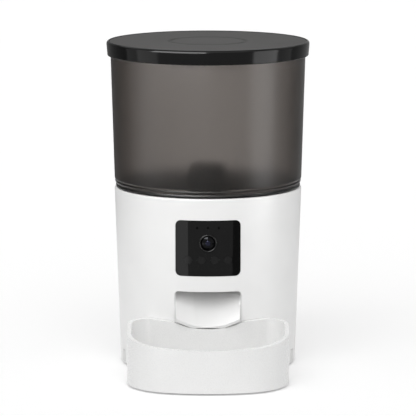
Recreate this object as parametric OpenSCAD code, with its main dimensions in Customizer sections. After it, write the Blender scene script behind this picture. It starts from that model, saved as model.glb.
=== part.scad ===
// Pet feeder with a camera: tapered tower, smoky hopper, lid, portion rotor, chute and bowl.
// The origin is at floor level on the tower's axis. Camera and bowl face -Y, and +Z is up.

/* [Tower] */
// Diameter of the tower at its lower edge
body_base_d = 182.4; // [176:0.2:200]
// Diameter of the tower at its top rim
body_top_d = 194.6; // [190:0.2:210]
// Height of the tower's shell
body_h = 183; // [178:1:220]
// Wall of the tower's shell
body_wall = 2.6; // [2:0.1:4]
// Height of the rubber feet
foot_h = 2; // [1.5:0.1:5]
// Thickness of the base cover's plate
cover_t = 3; // [2.5:0.1:5]

/* [Hopper] */
// Height of the tub above the tower's rim
hopper_h = 144; // [110:1:200]
// Diameter of the tub just above its sloped step
hopper_base_d = 194.5; // [192:0.1:200]
// Diameter of the tub at its top edge
hopper_top_d = 202.4; // [198:0.1:206]
// Wall of the tub
hopper_wall = 2.4; // [1.8:0.1:4]
// Diameter of the collar that sits on the tower's rim
collar_d = 190.2; // [188.6:0.1:192]
// Height of the collar
collar_h = 4.3; // [3:0.1:8]
// Height of the sloped step above the collar
step_h = 4.7; // [3:0.1:10]
// Depth of the spigot that locates the tub in the tower
spigot_h = 7; // [5:0.5:10]

/* [Lid] */
// Largest diameter of the lid
lid_d = 210.4; // [209.6:0.1:220]
// Height of the lid from skirt to rim
lid_h = 15; // [13:0.5:25]
// Wall of the lid's skirt
lid_wall = 2.2; // [1.6:0.1:2.6]
// Thickness of the lid's plate
lid_plate_t = 3; // [2:0.1:4]
// Height of the lid's rim above its plate
lid_rim_h = 3; // [2.5:0.1:4]
// Width of the gloss rim around the matte inlay
lid_rim_w = 6.9; // [5:0.1:12]
// Diameter of the shallow dish in the inlay
dish_d = 78; // [50:1:120]
// Height of the lid's seal
seal_h = 2; // [1.5:0.1:3]
// Diameter of the desiccant cup
desiccant_d = 64; // [40:1:90]
// Height of the desiccant cup
desiccant_h = 18; // [12:1:30]

/* [Camera panel] */
// Width of the panel
panel_w = 66.5; // [64:0.5:72]
// Height of the panel
panel_h = 58; // [56:0.5:62]
// Corner radius of the panel
panel_corner = 5.6; // [3:0.1:9]
// Distance from the tower's rim down to the panel
panel_drop = 22; // [21:0.5:26]
// Diameter of the lens ring
lens_d = 18; // [14:0.5:20]
// Distance from the panel's top to the lens
lens_drop = 23.5; // [22:0.5:26]
// Diameter of each sensor window
dot_d = 2; // [1.6:0.1:3]
// Distance between sensor windows
dot_pitch = 11; // [8:0.5:13]
// Distance from the panel's top to the sensor windows
dot_drop = 7.7; // [6:0.1:9]
// Diameter of each push button
button_d = 8.5; // [6:0.1:9]
// Distance between push buttons
button_pitch = 13.5; // [12.5:0.1:14]
// Distance from the panel's top to the push buttons
button_drop = 41.1; // [39:0.1:44]
// Travel of each push button
button_travel = 0.7; // [0.4:0.1:1]

/* [Chute] */
// Width of the opening in the tower
chute_w = 69; // [62:0.5:72]
// Corner radius of the opening
chute_corner = 4.6; // [3:0.1:8]
// Distance from the panel down to the opening
chute_drop = 16.3; // [12:0.1:20]
// Wall of the chute
chute_wall = 2; // [1.5:0.1:3]
// Radius of the chute's concave scoop
scoop_r = 95; // [80:1:140]
// Height of the lip above the floor
lip_z = 53.5; // [50:0.5:58]
// Reach of the lip past the tower's skin
lip_reach = 4.5; // [3:0.1:6]

/* [Bowl] */
// Width of the bowl
bowl_w = 164; // [150:1:190]
// Distance from the tower's axis to the bowl's front
bowl_reach = 183; // [170:1:220]
// Height of the rim above the floor at the front
bowl_front_h = 45; // [38:0.5:50]
// Height of the rim above the floor at the tower
bowl_back_h = 59; // [55:0.5:62]
// Wall of the bowl
bowl_wall = 3; // [2:0.1:5]
// Thickness of the bowl's floor
bowl_floor_t = 4; // [3:0.1:8]
// Radius of the bowl's front
bowl_front_r = 154; // [140:1:260]
// Radius of the bowl's front corners
bowl_corner_r = 55; // [40:1:65]
// Radius of the bowl's rear corners
bowl_rear_r = 27; // [20:1:34]
// Radius between the bowl's floor and its sides
bowl_fillet = 12; // [6:0.5:16]

/* [Portion rotor] */
// Diameter inside the rotor chamber
chamber_d = 134; // [120:1:136]
// Depth of the rotor chamber
chamber_h = 36.5; // [34:0.5:42]
// Number of rotor blades
blade_count = 6; // [4:1:8]
// Thickness of a rotor blade
blade_t = 2.8; // [2:0.1:4]
// Diameter of the rotor's core
core_d = 52; // [44:1:54]
// Diameter of the hub at its top
hub_top_d = 35; // [24:1:40]
// Diameter of the hub at its waist
hub_waist_d = 46; // [42:1:50]
// Height of the hub above the rotor chamber
hub_h = 33.5; // [26:0.5:50]
// Wall of the funnel
funnel_wall = 2.5; // [2:0.1:3]
// Height of the funnel's cone
funnel_h = 13.5; // [11:0.5:15]

/* [Drive] */
// Tooth size of the gears, as the gear module
gear_m = 1; // [0.9:0.05:1]
// Teeth of the output gear
output_teeth = 48; // [40:1:50]
// Teeth of the idler's small gear
idler_small_teeth = 12; // [11:1:14]
// Teeth of the idler's large gear
idler_large_teeth = 40; // [30:1:42]
// Teeth of the motor's pinion
pinion_teeth = 10; // [10:1:12]
// Width of the output gear
gear_w = 8; // [6:0.5:9]
// Diameter of the motor
motor_d = 27.6; // [20:0.2:32]
// Length of the motor
motor_l = 32; // [22:1:36]

/* [Power and boards] */
// Diameter of a battery cell
cell_d = 34.2; // [26:0.1:34.2]
// Length of a battery cell
cell_l = 61.5; // [48:0.5:62]
// Number of battery cells
cell_count = 3; // [2:1:3]
// Thickness of the circuit boards
board_t = 1.6; // [1:0.1:2]
// Diameter of the speaker
speaker_d = 40; // [28:1:44]
// Height of the speaker's centre
speaker_z = 78; // [74:1:84]
// Height of the power inlet's centre
inlet_z = 17; // [16:0.5:22]

/* [Fits] */
// Radial gap of a running fit
run_gap = 0.05; // [0.03:0.01:0.08]
// Gap between pieces that are set into one another
set_gap = 0.3; // [0.2:0.05:0.4]
// Radius of the screws
screw_r = 1.5; // [1.2:0.1:1.6]

/* [Hidden] */
$fn = 96;
cut = 1;
big = 400;

// Heights of the tower
base_z = foot_h;
cover_top_z = base_z + cover_t;
rim_z = base_z + body_h;
lip_h = 4;
lip_gap = set_gap;
ledge_t = 2.5;
ledge_w = 9;
ledge_drop = 15.5;
ledge_z = rim_z - ledge_drop;

// Heights of the hopper and its lid
collar_z = rim_z + collar_h;
step_z = collar_z + step_h;
tub_z = rim_z + hopper_h;
tub_ledge_t = 2;
tub_ledge_w = 6.6;
tub_ledge_z = rim_z + tub_ledge_t;
plate_z = tub_z + seal_h;
lid_z = plate_z + lid_plate_t + lid_rim_h;
skirt_z = lid_z - lid_h;
skirt_draft = 0.9;

// Radii of the hopper and its lid
collar_r = collar_d / 2;
spigot_inset = 2.9;
spigot_r = collar_r - spigot_inset;
tub_ledge_r = collar_r - hopper_wall - tub_ledge_w;
inlay_r = lid_d / 2 - lid_rim_w;
inlay_t = 2;
dish_depth = 1;
lid_round = 2.4;

// Mouth of the tub, which follows the lid's skirt from the inside
mouth_gap = 0.9;
neck_drop = 1.5;
shoulder_h = 4;
skirt_in_r = lid_d / 2 - skirt_draft - lid_wall;
mouth_r = skirt_in_r - mouth_gap;
seal_inset = 0.4;
neck_z = skirt_z - neck_drop;
shoulder_z = neck_z - shoulder_h;
neck_r = mouth_r - hopper_top_d / 2 + tub_r(neck_z);

// Funnel and rotor
funnel_z = tub_ledge_z;
flange_t = 2;
chamber_r = chamber_d / 2;
chamber_top_z = funnel_z - funnel_h;
chamber_z = chamber_top_z - chamber_h;
funnel_bottom_z = chamber_z - funnel_wall;
tip_gap = 1;
rotor_z = chamber_z + 1;
blade_z0 = rotor_z + 2;
blade_z1 = chamber_top_z - 5.5;
slot_depth = 4;
core_r = core_d / 2;
hub_skirt_r = core_r + 4;
hub_waist_z = chamber_top_z + 13.5;
hub_z = chamber_top_z + hub_h;
journal_r = 8;
bush_wall = 2.5;
bush_flange_t = 0.8;
dog_w = 8;
dog_h = 8;
dog_play = 0.2;
dog_room = 1;
hub_play = 0.2;
baffle_a = 38;
baffle_t = 1.5;
baffle_z = chamber_top_z - 3;

// Outlet under the rotor
outlet_a = 27;
outlet_back = 33;
outlet_r = chamber_r - 3;

// Feed deck
deck_gap = 0.5;
deck_t = 3;
deck_top_z = funnel_bottom_z - deck_gap;
deck_z = deck_top_z - deck_t;
deck_flange_t = 2.5;
well_r = chamber_r + funnel_wall + 1;
well_wall = 2.5;
shaft_r = 6;
deck_screw_count = 4;
deck_screw_r = body_in(ledge_z) - ledge_w / 2;

// Gear train, hung under the deck
gear_add = 0.8;
gear_ded = 1.05;
gear_angle = 25;
gear_slack = 0.12;
gear_room = 0.8;
output_r = gear_m * output_teeth / 2;
small_r = gear_m * idler_small_teeth / 2;
large_r = gear_m * idler_large_teeth / 2;
pinion_r = gear_m * pinion_teeth / 2;
idler_y = output_r + small_r;
motor_y = idler_y + large_r + pinion_r;
gear_z = deck_z - 4 - gear_w;
large_w = 5;
large_z = gear_z - 1.5 - large_w;
case_wall = 2;
case_z = large_z - 2.5;
case_floor_z = case_z - case_wall;
axle_r = 2.5;
axle_boss_r = 4;
axle_boss_h = 3;
shaft_low_r = 4;
shaft_boss_r = 6.4;
motor_shaft_r = 1.5;
motor_boss_r = 5;
motor_bore_h = 9;
motor_thread_h = 5;
seat_t = 1;
pinion_room_r = motor_boss_r + 7;
ear_boss_h = 7;
ear_t = 3;
ear_r = 4.5;
ear_front = [output_r + gear_m * gear_add + gear_room + case_wall + ear_r - 1, 0];
ear_rear = [pinion_room_r + case_wall + ear_r - 1, motor_y];

// Camera panel and front board
panel_top_z = rim_z - panel_drop;
panel_z = panel_top_z - panel_h / 2;
panel_gap = 0.2;
panel_inset = 0.15;
panel_flange_w = 2.5;
panel_flange_t = 1.6;
panel_back = body_wall + panel_gap + panel_flange_t;
lens_z = panel_top_z - lens_drop;
dot_z = panel_top_z - dot_drop;
button_z = panel_top_z - button_drop;
button_count = 4;
button_gap = 0.15;
button_proud = 0.3;
button_flange_r = button_d / 2 + 1;
button_flange_t = 1.2;
button_stem_h = 1;
button_stem_r = 2;
button_far_x = button_pitch * (button_count - 1) / 2;
button_flange_y = -sqrt(pow(body_r(button_z - button_flange_r) - panel_back, 2)
    - pow(button_far_x + button_flange_r, 2)) + set_gap;
button_stem_y = button_flange_y + button_flange_t + button_stem_h;
switch_h = 5;
switch_w = 6;
switch_cap_h = 1.5;
switch_cap_r = 1.7;
switch_tip_y = button_stem_y + button_travel + set_gap;
front_board_y = switch_tip_y + switch_h;
front_board_w = panel_w - 1.5;
front_board_z0 = button_z - 5;
front_board_z1 = dot_z + 4.5;
post_r = 2.3;
board_thread_h = 5;
post_x = panel_w / 2 - post_r - 1.9;
post_zs = [button_z, lens_z + 12];
lens_y = -body_r(lens_z);
lens_proud = 0.9;
lens_wall = 1.8;
lens_flange_w = 1.5;
lens_h = 5;
barrel_step = 1.6;
barrel_depths = [1, 2.5];
lens_glass_r = lens_d / 2 - lens_wall - panel_gap;
lens_dome_r = 12;
lens_seat_y = lens_y + 2.2;
dot_recess = 0.4;

// Chute
chute_top_z = panel_top_z - panel_h - chute_drop;
chute_bottom_z = lip_z - 6;
chute_in_w = chute_w - 3;
tongue_w = chute_w - 4;
cheek_inset = 0.2;
chute_top = [-outlet_back, deck_z];
chute_lip = [-body_r(lip_z) - lip_reach, lip_z];
chute_slope = atan2(chute_top[1] - chute_lip[1], chute_top[0] - chute_lip[0]);
chute_normal = [-sin(chute_slope), cos(chute_slope)];
roof_top_y = -outlet_r - 2;
roof_mid = [roof_top_y - 4, deck_z - 21];
roof_front_z = chute_top_z + 1;
chute_flange_w = 9;
chute_flange_t = 3;
chute_flange_l = 25;
chute_flange_y = [chute_top[0] - chute_flange_l, chute_top[0]];
chute_screw = [chute_in_w / 2 + chute_wall + chute_flange_w / 2, chute_top[0] - chute_flange_l / 2];
chute_flange_lap = 2;

// Bowl
bowl_gap = 0.8;
bowl_cx = bowl_w / 2 - bowl_corner_r;
bowl_front_cy = bowl_front_r - bowl_reach;
bowl_cy = bowl_front_cy - sqrt(pow(bowl_front_r - bowl_corner_r, 2) - pow(bowl_cx, 2));
bowl_tx = bowl_cx * bowl_front_r / (bowl_front_r - bowl_corner_r);
bowl_rear_cx = bowl_w / 2 - bowl_rear_r;
bowl_rear_y = -sqrt(pow(body_r(bowl_back_h) + bowl_gap, 2) - pow(bowl_rear_cx + 6, 2));
bowl_rear_cy = bowl_rear_y - bowl_rear_r;
bowl_floor_z = foot_h + bowl_floor_t;
rim_slope = (bowl_back_h - bowl_front_h) / (bowl_reach + bowl_rear_y);
notch_w = chute_w - 1;
notch_z = lip_z - 5;
notch_corner = 6;
hook_x = 40;
hook_w = 12;
hook_h = 4;
hook_z = 20;
hook_reach = 9;
pad_r = 6;
pad_set = 0.6;
pads = [[50, bowl_cy - 28], [58, bowl_rear_cy]];

// Base cover, batteries and door
base_screw_count = 4;
base_boss_r = 4.5;
base_boss_h = 14;
base_screw_at = body_in(cover_top_z) - base_boss_r + 1.1;
head_r = screw_r * 2;
head_h = 1.6;
press_gap = 0.06;
tab_a = 73;
tab_w = 8;
tab_h = 14;
tab_slit = 0.5;
tab_grip = 3;
tab_root = 2;
foot_r = body_in(base_z) - 4;
foot_w = 6;
bay_y = 8;
bay_wall = 2;
contact_t = 0.6;
cell_gap = 0.4;
bay_play = 3;
spring_room = 4;
spring_r = 4;
bay_w = cell_count * cell_d + bay_play;
bay_l = cell_l + 2 * contact_t + spring_room;
cell_lift = 5;
bay_top_z = cover_top_z + cell_lift + cell_d + set_gap;
cell_z = bay_top_z - set_gap - cell_d / 2;
bay_y0 = bay_y - bay_l / 2;
bay_y1 = bay_y + bay_l / 2;
door_t = 2;
door_gap = 0.4;
hinge_y = bay_y1 - 3.4;
hinge_z = base_z + 2.8;
hinge_r = 2.2;
hinge_w = 6;
hinge_x = 18;
hinge_sweep = sqrt(pow(hinge_r, 2) + pow(hinge_z - base_z, 2)) + set_gap;
pin_r = 1;
main_post_h = 4;
main_board_z = bay_top_z + bay_wall + main_post_h;
main_board_w = 88;
main_board_l = 56;
main_post_r = 3;
main_post_inset = 5;
speaker_t = 5;
cup_wall = 2;
speaker_y = sqrt(pow(body_in(speaker_z - speaker_d / 2), 2) - pow(speaker_d / 2, 2)) - set_gap;
grille_r = 1.2;
grille_rings = 3;
grille_pitch = 5;
inlet_w = 9;
inlet_h = 3.2;
inlet_l = 10;
inlet_y = body_r(inlet_z) - 0.5;
power_board_z = inlet_z - inlet_h / 2 - board_t;
power_board_w = 24;
power_board_l = 20;
power_board_y = body_in(inlet_z) - 2 - power_board_l;
power_post_x = 8;

// Outer and inner radius of the tower at a height
function body_r(z) = (body_base_d + (body_top_d - body_base_d) * (z - foot_h) / body_h) / 2;
function body_in(z) = body_r(z) - body_wall;

// Outer radius of the tub's sloped wall at a height
function tub_r(z) = (hopper_base_d
    + (hopper_top_d - hopper_base_d) * (z - step_z) / (tub_z - step_z)) / 2;

// Cone that follows the tower's skin, moved in or out by grow
module skin_cone(z0, z1, grow) {
    translate([0, 0, z0])
        cylinder(h = z1 - z0, r1 = body_r(z0) + grow, r2 = body_r(z1) + grow);
}

// Layer of the tower's skin between two offsets
module skin_layer(z0, z1, outer, inner) {
    difference() {
        skin_cone(z0, z1, outer);
        skin_cone(z0 - cut, z1 + cut, inner);
    }
}

module ring(r_out, r_in, h) {
    difference() {
        cylinder(h = h, r = r_out);
        translate([0, 0, -cut]) cylinder(h = h + 2 * cut, r = r_in);
    }
}

module rounded_rect(w, h, r) {
    square([w - 2 * r, h], center = true);
    square([w, h - 2 * r], center = true);
    for (x = [-1, 1], y = [-1, 1])
        translate([x * (w / 2 - r), y * (h / 2 - r)]) circle(r);
}

// Stands a flat shape up, so that its height grows towards the front
module face_front(x, y, z) {
    translate([x, y, z]) rotate([90, 0, 0]) children();
}

// Stands a flat shape up, so that its height grows towards the rear
module face_rear(x, y, z) {
    translate([x, y, z]) rotate([-90, 0, 0]) children();
}

module ring_of(count, r, start = 45) {
    for (i = [0:count - 1])
        rotate([0, 0, start + i * 360 / count]) translate([r, 0, 0]) children();
}

// Screw along +Z, with its head below z = 0
module screw(l) {
    cylinder(h = l, r = screw_r);
    translate([0, 0, -head_h]) cylinder(h = head_h, r = head_r);
}

module screw_hole(l) {
    cylinder(h = l, r = screw_r + run_gap);
}

module head_hole(l) {
    translate([0, 0, -l]) cylinder(h = l, r = head_r + set_gap);
}

// Involute gear outline with a tooth on the +X axis
function involute(r, base) = tan(acos(base / r)) * 180 / PI - acos(base / r);
function tooth_half(r, pitch, n) = let (base = pitch * cos(gear_angle))
    90 / n - gear_slack / pitch * 90 / PI + involute(pitch, base) - involute(max(r, base), base);
module gear_outline(n, steps = 5) {
    pitch = gear_m * n / 2;
    tip = pitch + gear_m * gear_add;
    root = pitch - gear_m * gear_ded;
    start = max(root, pitch * cos(gear_angle));
    radii = concat([root], [for (i = [0:steps]) start + (tip - start) * i / steps]);
    last = len(radii) - 1;
    polygon([for (t = [0:n - 1], k = [0:2 * last + 1])
        let (up = k <= last, r = radii[up ? k : 2 * last + 1 - k], half = tooth_half(r, pitch, n),
            a = t * 360 / n + (up ? -half : half))
        [r * cos(a), r * sin(a)]]);
}

// Outlet under the rotor: a sector that faces the front
module outlet(r, grow = 0) {
    intersection() {
        circle(r + grow);
        polygon([[0, 0], [-big * tan(outlet_a), -big], [big * tan(outlet_a), -big]]);
        translate([-big, -2 * big - outlet_back - grow]) square(2 * big);
    }
}

module body_shell() {
    lip_r = spigot_r + lip_gap;
    ledge_r = body_in(ledge_z) - ledge_w;
    color("white") difference() {
        union() {
            rotate_extrude() polygon([
                [body_in(base_z), base_z], [body_r(base_z), base_z], [body_r(rim_z), rim_z],
                [lip_r, rim_z], [lip_r, rim_z - lip_h], [body_in(rim_z - lip_h), rim_z - lip_h],
                [body_in(ledge_z), ledge_z], [ledge_r, ledge_z], [ledge_r, ledge_z - ledge_t],
                [body_in(ledge_z - ledge_t), ledge_z - ledge_t]]);
            translate([0, 0, cover_top_z]) ring_of(base_screw_count, base_screw_at)
                cylinder(h = base_boss_h, r = base_boss_r);
            intersection() {
                face_rear(0, speaker_y - speaker_t, speaker_z)
                    ring(speaker_d / 2 + cup_wall, speaker_d / 2 + set_gap, big);
                skin_cone(base_z, rim_z, -body_wall / 2);
            }
        }
        panel_prism(0);
        chute_prism(0);
        translate([0, 0, cover_top_z - cut]) ring_of(base_screw_count, base_screw_at)
            screw_hole(base_boss_h);
        translate([0, 0, ledge_z - ledge_t - cut]) ring_of(deck_screw_count, deck_screw_r)
            screw_hole(ledge_t + 2 * cut);
        for (side = [-1, 1])
            snap_place(side) translate([-big / 2, -tab_w / 2 - tab_slit, -cut])
                cube([big, tab_w + 2 * tab_slit, tab_h + tab_slit + cut]);
        for (side = [-1, 1])
            translate([side * hook_x - hook_w / 2 - set_gap, -big, hook_z - set_gap])
                cube([hook_w + 2 * set_gap, big, hook_h + 2 * set_gap]);
        face_rear(0, 0, speaker_z) grille(big);
        face_rear(0, 0, inlet_z) linear_extrude(big)
            rounded_rect(inlet_w + 2 * set_gap, inlet_h + 2 * set_gap, inlet_h / 2);
    }
}

// Frame at the base's edge where a snap tab sits, +X outwards
module snap_place(side) {
    rotate([0, 0, -90 + side * tab_a]) translate([body_in(base_z) + big / 2 - tab_grip, 0, base_z])
        children();
}

module grille(l) {
    cylinder(h = l, r = grille_r);
    for (ring_no = [1:grille_rings])
        ring_of(6 * ring_no, ring_no * grille_pitch, 0) cylinder(h = l, r = grille_r);
}

module panel_prism(grow) {
    face_front(0, 0, panel_z) linear_extrude(big)
        rounded_rect(panel_w + 2 * grow, panel_h + 2 * grow, panel_corner + grow);
}

module chute_prism(grow) {
    face_front(0, 0, (chute_top_z + chute_bottom_z) / 2) linear_extrude(big)
        rounded_rect(chute_w + 2 * grow, chute_top_z - chute_bottom_z + 2 * grow, chute_corner + grow);
}

module base_cover() {
    tray_w = bay_w + 2 * bay_wall;
    tray_l = bay_l + 2 * bay_wall;
    color("gainsboro") difference() {
        union() {
            translate([0, 0, base_z]) cylinder(h = cover_t, r = body_in(base_z) - set_gap);
            translate([-tray_w / 2, bay_y - tray_l / 2, base_z])
                cube([tray_w, tray_l, bay_top_z + bay_wall - base_z]);
            for (p = main_posts())
                translate([p[0], p[1], bay_top_z]) cylinder(h = main_board_z - bay_top_z, r = main_post_r);
            for (side = [-1, 1])
                translate([side * power_post_x, power_board_y + power_board_l / 2, base_z])
                    cylinder(h = power_board_z - base_z, r = main_post_r);
            for (side = [-1, 1])
                snap_tab(side);
        }
        difference() {
            translate([-bay_w / 2, bay_y0, base_z - cut]) cube([bay_w, bay_l, bay_top_z - base_z + cut]);
            hinge_lugs();
        }
        hinge_axis() cylinder(h = big, r = pin_r + press_gap, center = true);
        for (p = main_posts())
            translate([p[0], p[1], bay_top_z + bay_wall]) screw_hole(big);
        translate([0, 0, base_z + head_h]) ring_of(base_screw_count, base_screw_at) {
            screw_hole(big);
            head_hole(big);
        }
    }
}

function main_posts() = [for (x = [-1, 1], y = [-1, 1])
    [x * (main_board_w / 2 - main_post_inset), bay_y + y * (main_board_l / 2 - main_post_inset)]];

module hinge_axis() {
    translate([0, hinge_y, hinge_z]) rotate([0, 90, 0]) children();
}

// Middle of a lug or knuckle along a hinge, counted outwards from 0 to 2
function hinge_step(place) = hinge_x + (place + 0.5) * (hinge_w + set_gap);

// Lugs that hold the hinge pins, at the rear wall of the battery bay
module hinge_lugs() {
    for (side = [-1, 1], place = [0, 2])
        translate([side * hinge_step(place) - hinge_w / 2, hinge_y - hinge_r, base_z])
            cube([hinge_w, big, hinge_z + hinge_r - base_z]);
}

module snap_tab(side) {
    intersection() {
        skin_layer(base_z, base_z + tab_h, 0, -body_wall);
        snap_place(side) translate([-big / 2, -tab_w / 2, 0]) cube([big, tab_w, tab_h]);
    }
    intersection() {
        skin_cone(base_z, cover_top_z, -body_wall / 2);
        snap_place(side) translate([-big / 2 - tab_root, -tab_w / 2, 0]) cube([big, tab_w, cover_t]);
    }
}

module foot_ring() {
    color("dimgray") ring(foot_r, foot_r - foot_w, foot_h);
}

module base_screws() {
    color("silver") translate([0, 0, base_z + head_h]) ring_of(base_screw_count, base_screw_at)
        screw(base_boss_h - tab_root);
}

module feed_deck() {
    flange_r = body_in(ledge_z) - set_gap;
    well_out = well_r + well_wall;
    color("whitesmoke") difference() {
        union() {
            rotate_extrude() polygon([
                [0, deck_z], [well_out, deck_z], [well_out, ledge_z], [flange_r, ledge_z],
                [flange_r, ledge_z + deck_flange_t], [well_r, ledge_z + deck_flange_t],
                [well_r, deck_top_z], [0, deck_top_z]]);
            for (p = ear_places())
                translate([p[0], p[1], deck_z - ear_boss_h]) cylinder(h = ear_boss_h + cut, r = ear_r);
            translate([0, idler_y, deck_z - axle_boss_h]) cylinder(h = axle_boss_h + cut, r = axle_boss_r);
        }
        translate([0, 0, deck_z - cut]) linear_extrude(big) outlet(outlet_r);
        translate([0, 0, deck_z - cut]) cylinder(h = big, r = shaft_r + bush_wall + press_gap);
        translate([0, idler_y, deck_z - axle_boss_h - cut])
            cylinder(h = axle_boss_h + cut, r = axle_r + press_gap);
        for (p = ear_places())
            translate([p[0], p[1], deck_z - ear_boss_h - cut]) screw_hole(ear_boss_h + cut);
        for (side = [-1, 1])
            translate([side * chute_screw[0], chute_screw[1], deck_z - cut])
                screw_hole(deck_t - deck_gap + cut);
        translate([0, 0, ledge_z - cut]) ring_of(deck_screw_count, deck_screw_r) screw_hole(big);
    }
}

function ear_places() = [for (side = [-1, 1], p = [ear_front, ear_rear]) [side * p[0], p[1]]];

module deck_screws() {
    color("silver") translate([0, 0, ledge_z + deck_flange_t]) ring_of(deck_screw_count, deck_screw_r)
        mirror([0, 0, 1]) screw(deck_flange_t + ledge_t);
}

module shaft_bush() {
    color("goldenrod") translate([0, 0, deck_z]) ring(shaft_r + bush_wall, shaft_r + run_gap, deck_t);
}

// Tilted cylinder whose lower side is the chute's scoop
module scoop(grow) {
    run = 40;
    translate([0,
        chute_top[0] + chute_normal[0] * scoop_r + cos(chute_slope) * run,
        chute_top[1] + chute_normal[1] * scoop_r + sin(chute_slope) * run])
        rotate([90 + chute_slope, 0, 0]) cylinder(h = big, r = scoop_r + grow);
}

// Side view of the chute from deck to lip, grown by its wall
module chute_side(grow) {
    up = grow > 0 ? 0 : cut;
    low = chute_lip - chute_normal * grow;
    top = chute_top - chute_normal * grow;
    back = top + (chute_top - chute_lip) * ((chute_top[1] + up - top[1]) / (chute_top[1] - chute_lip[1]));
    polygon([back, low, [-big, low[1]], [-big, roof_front_z + grow],
        [-body_in(chute_top_z), roof_front_z + grow], [roof_mid[0] - grow, roof_mid[1]],
        [roof_top_y - grow, chute_top[1] + up]]);
}

module chute_block(w, grow) {
    intersection() {
        rotate([90, 0, 90]) translate([0, 0, -w / 2]) linear_extrude(w) chute_side(grow);
        scoop(grow);
    }
}

module feed_chute() {
    color("white") difference() {
        union() {
            intersection() {
                chute_block(chute_in_w + 2 * chute_wall, chute_wall);
                skin_cone(base_z, rim_z, -body_wall - set_gap);
            }
            intersection() {
                chute_block(tongue_w, chute_wall);
                translate([-tongue_w / 2, chute_lip[0], chute_bottom_z + set_gap])
                    cube([tongue_w, roof_top_y - chute_lip[0], chute_top_z - chute_bottom_z - 2 * set_gap]);
            }
            intersection() {
                skin_layer(chute_bottom_z, chute_top_z, -cheek_inset, -body_wall - set_gap - chute_wall);
                chute_prism(-set_gap);
            }
            for (side = [-1, 1])
                translate([side * (chute_screw[0] - chute_flange_lap / 2) - chute_flange_w / 2
                    - chute_flange_lap / 2, chute_flange_y[0], deck_z - chute_flange_t])
                    cube([chute_flange_w + chute_flange_lap, chute_flange_l, chute_flange_t]);
        }
        chute_block(chute_in_w, 0);
        for (side = [-1, 1])
            translate([side * chute_screw[0], chute_screw[1], 0]) screw_hole(big);
    }
}

module chute_screws() {
    color("silver") for (side = [-1, 1])
        translate([side * chute_screw[0], chute_screw[1], deck_z - chute_flange_t])
            screw(chute_flange_t + deck_t - seat_t);
}

module camera_panel() {
    z0 = panel_z - panel_h / 2 - 2 * panel_flange_w;
    z1 = panel_top_z + 2 * panel_flange_w;
    color("black") difference() {
        union() {
            intersection() {
                skin_layer(z0, z1, -panel_inset, -panel_back);
                panel_prism(-panel_gap);
            }
            intersection() {
                skin_layer(z0, z1, -body_wall - panel_gap, -panel_back);
                panel_prism(panel_flange_w);
            }
            intersection() {
                for (x = [-1, 1], z = post_zs)
                    face_front(x * post_x, front_board_y, z) cylinder(h = big, r = post_r);
                skin_cone(z0, z1, -panel_back + cut);
            }
        }
        face_front(0, 0, lens_z) cylinder(h = big, r = lens_d / 2 + panel_gap);
        for (i = [-1:1])
            face_front(i * dot_pitch, 0, dot_z) cylinder(h = big, r = dot_d / 2 + panel_gap);
        for (i = [1:button_count])
            face_front(button_x(i), 0, button_z) cylinder(h = big, r = button_d / 2 + button_gap);
        for (x = [-1, 1], z = post_zs)
            face_front(x * post_x, front_board_y + cut, z) screw_hole(board_thread_h + cut);
    }
}

function button_x(i) = (i - (button_count + 1) / 2) * button_pitch;

module lens_ring() {
    inner_r = lens_d / 2 - lens_wall;
    flange_r = lens_d / 2 + lens_flange_w;
    flange_y = set_gap - sqrt(pow(body_r(lens_z - flange_r) - panel_back, 2) - pow(flange_r, 2));
    color("dimgray") difference() {
        union() {
            face_front(0, flange_y + panel_flange_t, lens_z)
                cylinder(h = flange_y + panel_flange_t - lens_y + lens_proud, r = lens_d / 2);
            face_front(0, flange_y + panel_flange_t, lens_z) cylinder(h = panel_flange_t, r = flange_r);
        }
        face_front(0, 0, lens_z) cylinder(h = big, r = inner_r);
    }
}

module lens_glass() {
    color("midnightblue") intersection() {
        face_front(0, lens_seat_y, lens_z) cylinder(h = lens_h, r = lens_glass_r);
        translate([0, lens_y - lens_proud / 2 + lens_dome_r, lens_z]) sphere(lens_dome_r);
    }
}

module lens_barrel() {
    color("black") difference() {
        face_front(0, front_board_y, lens_z)
            cylinder(h = front_board_y - lens_seat_y - run_gap, r = lens_glass_r);
        for (i = [0, 1])
            face_front(0, lens_seat_y + barrel_depths[i], lens_z)
                cylinder(h = lens_h, r = lens_glass_r - (i + 1) * barrel_step);
    }
}

module sensor_windows() {
    color("darkslategray") intersection() {
        for (i = [-1:1])
            face_front(i * dot_pitch, front_board_y, dot_z) cylinder(h = big, r = dot_d / 2);
        skin_cone(base_z, rim_z, -panel_inset - dot_recess);
    }
}

module front_board() {
    color("darkgreen") difference() {
        translate([-front_board_w / 2, front_board_y, front_board_z0])
            cube([front_board_w, board_t, front_board_z1 - front_board_z0]);
        for (x = [-1, 1], z = post_zs)
            face_front(x * post_x, 0, z) screw_hole(big);
    }
}

module front_board_screws() {
    color("silver") for (x = [-1, 1], z = post_zs)
        face_front(x * post_x, front_board_y + board_t, z) screw(board_t + board_thread_h - seat_t);
}

module tact_switches() {
    color("dimgray") for (i = [1:button_count]) {
        translate([button_x(i) - switch_w / 2, front_board_y - switch_h + switch_cap_h,
            button_z - switch_w / 2]) cube([switch_w, switch_h - switch_cap_h, switch_w]);
        face_front(button_x(i), front_board_y - switch_h + switch_cap_h + cut / 2, button_z)
            cylinder(h = switch_cap_h + cut / 2, r = switch_cap_r);
    }
}

module push_button(i) {
    color("black") {
        intersection() {
            face_front(button_x(i), button_flange_y, button_z) cylinder(h = big, r = button_d / 2);
            skin_cone(base_z, rim_z, button_proud - panel_inset);
        }
        face_front(button_x(i), button_flange_y + button_flange_t, button_z)
            cylinder(h = button_flange_t, r = button_flange_r);
        face_front(button_x(i), button_stem_y, button_z)
            cylinder(h = button_stem_h + button_flange_t, r = button_stem_r);
    }
}

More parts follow.
